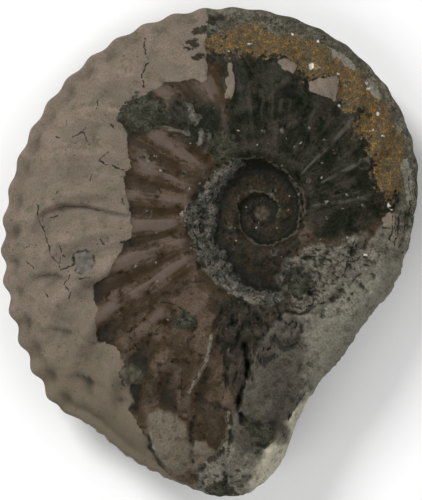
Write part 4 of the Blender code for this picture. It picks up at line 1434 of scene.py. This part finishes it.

# Colours of what lies on the stone or shows in it, and of painted light: the shade between the keel's beads,
# in the shell's rib hollows and in hollows, the shade with an olive tone low on the shell, and the highlight
# on crests and the glints. A spot's fourth number is how full its colour is.
accents = {
    "brownCrest": (0.110, 0.082, 0.065, 1),
    "brownHollow": (0.024, 0.014, 0.005, 1),
    "darkCrest": (0.080, 0.073, 0.060, 1),
    "keelShadeTint": (0.078, 0.056, 0.034, 1),
    "shellRibShade": (0.118, 0.104, 0.076, 1),
    "shellLowToneAndShade": (0.112, 0.096, 0.064, 1),
    "paleEdge": (0.085, 0.078, 0.057, 1),
    "scar": (0.070, 0.064, 0.050, 0.7),
    "disc": (0.116, 0.110, 0.096, 0.80),
    "nodule": (0.058, 0.054, 0.038, 0.85),
    "gloss": (0.130, 0.125, 0.105, 0.65),
    "lip": (0.170, 0.155, 0.118, 0.8),
    "leaf": (0.020, 0.020, 0.014, 0.95),
    "crack": (0.012, 0.014, 0.010, 1),
    "whiteSpeck": (0.55, 0.53, 0.46, 1),
    "glint": (0.26, 0.25, 0.21, 0.8),
    "nucleus": (0.066, 0.053, 0.038, 0.7),
    "hollowShade": (0.012, 0.013, 0.010, 1),
    "crestHighlight": (0.16, 0.145, 0.12, 1),
}

# Small marks and the edge of the spots: distances in millimetres, shares, and a seed for each.
marks = {
    "pits": {"spacing": 1.5, "share": 0.36, "fullness": 0.17, "seed": 3.0},
    "specks": {"spacing": 1.0, "share": 0.30, "fullness": 0.15, "seed": 9.0},
    "spotEdge": {"wander": 0.28, "wanderSize": 0.6, "softness": 0.12, "seed": 40.0},
    "paleEdge": {"halfWidth": 0.24, "seed": 6.0},
    "crack": {"halfWidth": 0.16, "seed": 7.0},
}
strengths = {"keelShadeTint": 0.75, "pits": 0.6, "paleEdge": 0.7, "specks": 0.5, "crack": 0.9}

# Tints that follow a layer: its values between which the tint comes or goes, and the tint's share at each.
tints = {
    "brownCrest": (0.60, 1.0, 0.0, 0.8),
    "brownHollow": (0.0, 0.45, 0.8, 0.0),
    # painted shade in the hollows between the shell's ribs
    "shellRibShade": (0.05, 0.50, 0.45, 0.0),
    # the shell painted darker and more olive towards the broken end: partly its own tone, partly painted
    # shade
    "shellLowToneAndShade": (-38.0, -4.0, 0.8, 0.0),  # from the broken end upwards, in millimetres of y
    # painted shade in the hollows of the relief
    "hollowShade": (0.02, 0.28, 0.0, 0.75),
    # painted highlight on the crests of the relief
    "crestHighlight": (-0.22, -0.02, 0.05, 0.0),
}

bumpNoise = ((3.0, 3.0, 0.7), (0.9, 2.0, 0.6))  # scale, detail and roughness, fine and coarse
gloss = 0.06


def makeStone():
    stone = bpy.data.materials.new("fossilStone")
    stone.use_nodes = True
    tree = stone.node_tree
    shader = tree.nodes["Principled BSDF"]
    mottle, ragged, hairline, freckles = makeMottle(), makeRaggedEdge(), makeHairline(), makeFreckles()

    def dressed(name, seed):
        finish = finishes[name]
        main, patch, stain = [(*colour, 1.0) for colour in finish["colours"]]
        made = placeGroup(tree, mottle, main=main, patch=patch, stain=stain, patchSize=finish["patch"],
                          grainSize=finish["speckle"], grainContrast=finish["contrast"], seed=seed)
        return made["Colour"]

    def tinted(under, layer, name):
        return mixColour(tree, easeBetween(tree, layer, *tints[name]), under, accents[name])

    def marked(under, mask, share, accent):
        return mixColour(tree, calculate(tree, "MULTIPLY", mask, share), under, accents[accent])

    crest = layerValue(tree, "ribCrest")
    colour = dressed("brownMould", 1.0)
    colour = tinted(colour, crest, "brownCrest")
    colour = tinted(colour, crest, "brownHollow")
    for step, (name, edgeWander, wanderSize, softness) in enumerate(layering):
        own = dressed(name, 2.0 + step)
        if name == "darkMould":
            own = mixColour(tree, layerValue(tree, "crestLine"), own, accents["darkCrest"])
        if name == "shell":
            # painted shade in the hollows between the shell's ribs
            own = tinted(own, crest, "shellRibShade")
            # the shell painted darker and more olive towards the broken end: partly its own tone, partly
            # painted shade
            parts = tree.nodes.new("ShaderNodeSeparateXYZ")
            tree.links.new(millimetres(tree), parts.inputs[0])
            own = tinted(own, parts.outputs[1], "shellLowToneAndShade")
            # painted brown shade between the keel's beads
            own = marked(own, layerValue(tree, "keelBeadShade"), strengths["keelShadeTint"], "keelShadeTint")
            pits = placeGroup(tree, freckles, **marks["pits"])["Mask"]
            own = marked(own, pits, strengths["pits"], "leaf")
        mask = placeGroup(tree, ragged, depth=layerValue(tree, name), wander=edgeWander,
                          wanderSize=wanderSize, softness=softness, seed=20.0 + step)["Mask"]
        colour = mixColour(tree, mask, colour, own)

    mask = placeGroup(tree, ragged, depth=layerValue(tree, "spot"), **marks["spotEdge"])["Mask"]
    fullness = calculate(tree, "MULTIPLY", mask, layerValue(tree, "spotColour", "Alpha"))
    colour = mixColour(tree, fullness, colour, layerValue(tree, "spotColour", "Color"))
    toEdge = layerValue(tree, "paleEdge", "Vector")
    edge = placeGroup(tree, hairline, step=toEdge, **marks["paleEdge"])["Mask"]
    colour = marked(colour, edge, strengths["paleEdge"], "paleEdge")
    specks = placeGroup(tree, freckles, **marks["specks"])["Mask"]
    colour = marked(colour, specks, strengths["specks"], "crack")
    toCrack = layerValue(tree, "crack", "Vector")
    crackMask = placeGroup(tree, hairline, step=toCrack, **marks["crack"])["Mask"]
    colour = marked(colour, crackMask, strengths["crack"], "crack")
    hollow = layerValue(tree, "hollow")
    # painted shade in the hollows of the relief
    colour = tinted(colour, hollow, "hollowShade")
    # painted highlight on the crests of the relief
    colour = tinted(colour, hollow, "crestHighlight")
    tree.links.new(colour, shader.inputs["Base Color"])
    tree.links.new(layerValue(tree, "roughness"), shader.inputs["Roughness"])
    places = millimetres(tree)
    fine, coarse = (
        noiseOver(tree, moveBy(tree, "SCALE", places, scale), detail, roughness)
        for scale, detail, roughness in bumpNoise
    )
    height = calculate(tree, "MULTIPLY", calculate(tree, "ADD", fine, coarse), layerValue(tree, "grain"))
    bump = tree.nodes.new("ShaderNodeBump")
    bump.inputs["Strength"].default_value = 1.0
    bump.inputs["Distance"].default_value = mm
    tree.links.new(height, bump.inputs["Height"])
    tree.links.new(bump.outputs["Normal"], shader.inputs["Normal"])
    shader.inputs["Specular IOR Level"].default_value = gloss
    return stone


fossil = makeFossil()
fossil.data.materials.append(makeStone())
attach(fossil, "root")
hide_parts("ammonite")
print("fossil made")

stage = {
    "floorSize": 3.0,
    "floorColour": (0.92, 0.92, 0.92, 1.0),
    "floorRoughness": 0.9,
    "roomStrength": 0.22,
}


def makeFloor():
    finish = bpy.data.materials.new("paleFloor")
    finish.use_nodes = True
    shader = finish.node_tree.nodes["Principled BSDF"]
    shader.inputs["Base Color"].default_value = stage["floorColour"]
    shader.inputs["Roughness"].default_value = stage["floorRoughness"]
    bpy.ops.object.select_all(action="DESELECT")
    bpy.ops.mesh.primitive_plane_add(size=stage["floorSize"])
    floor = bpy.context.object
    floor.name = "floor"
    floor.data.materials.append(finish)


view = {"lens": 120.0, "sensor": 36.0, "height": 95.0, "middle": (0.38, 0.32)}


def setCamera():
    distance = view["height"] * view["lens"] / view["sensor"]
    place = (view["middle"][0] * mm, view["middle"][1] * mm, (coil["place"][2] + distance) * mm)
    bpy.ops.object.camera_add(location=place, rotation=(0.0, 0.0, 0.0))
    camera = bpy.context.object
    camera.data.lens = view["lens"]
    camera.data.sensor_width = view["sensor"]
    bpy.context.scene.camera = camera


softBoxes = {
    "keySoftBox": {"place": (-0.34, 0.44, 0.56), "size": 0.24, "power": 4.3},
    "sideSoftBox": {"place": (0.48, 0.02, 0.68), "size": 0.70, "power": 2.2},
    "lowSoftBox": {"place": (-0.40, -0.42, 0.70), "size": 0.60, "power": 3.0},
}


def setLights():
    for name, box in softBoxes.items():
        bpy.ops.object.light_add(type="AREA", location=box["place"])
        light = bpy.context.object
        light.name = name
        light.data.size = box["size"]
        light.data.energy = box["power"]
        light.rotation_euler = (-Vector(box["place"])).to_track_quat("-Z", "Y").to_euler()
    world = bpy.data.worlds.new("paleRoom")
    world.use_nodes = True
    world.node_tree.nodes["Background"].inputs["Color"].default_value = (1.0, 1.0, 1.0, 1.0)
    world.node_tree.nodes["Background"].inputs["Strength"].default_value = stage["roomStrength"]
    bpy.context.scene.world = world
    bpy.context.scene.view_settings.view_transform = "Standard"


makeFloor()
setCamera()
setLights()
print("stage set")
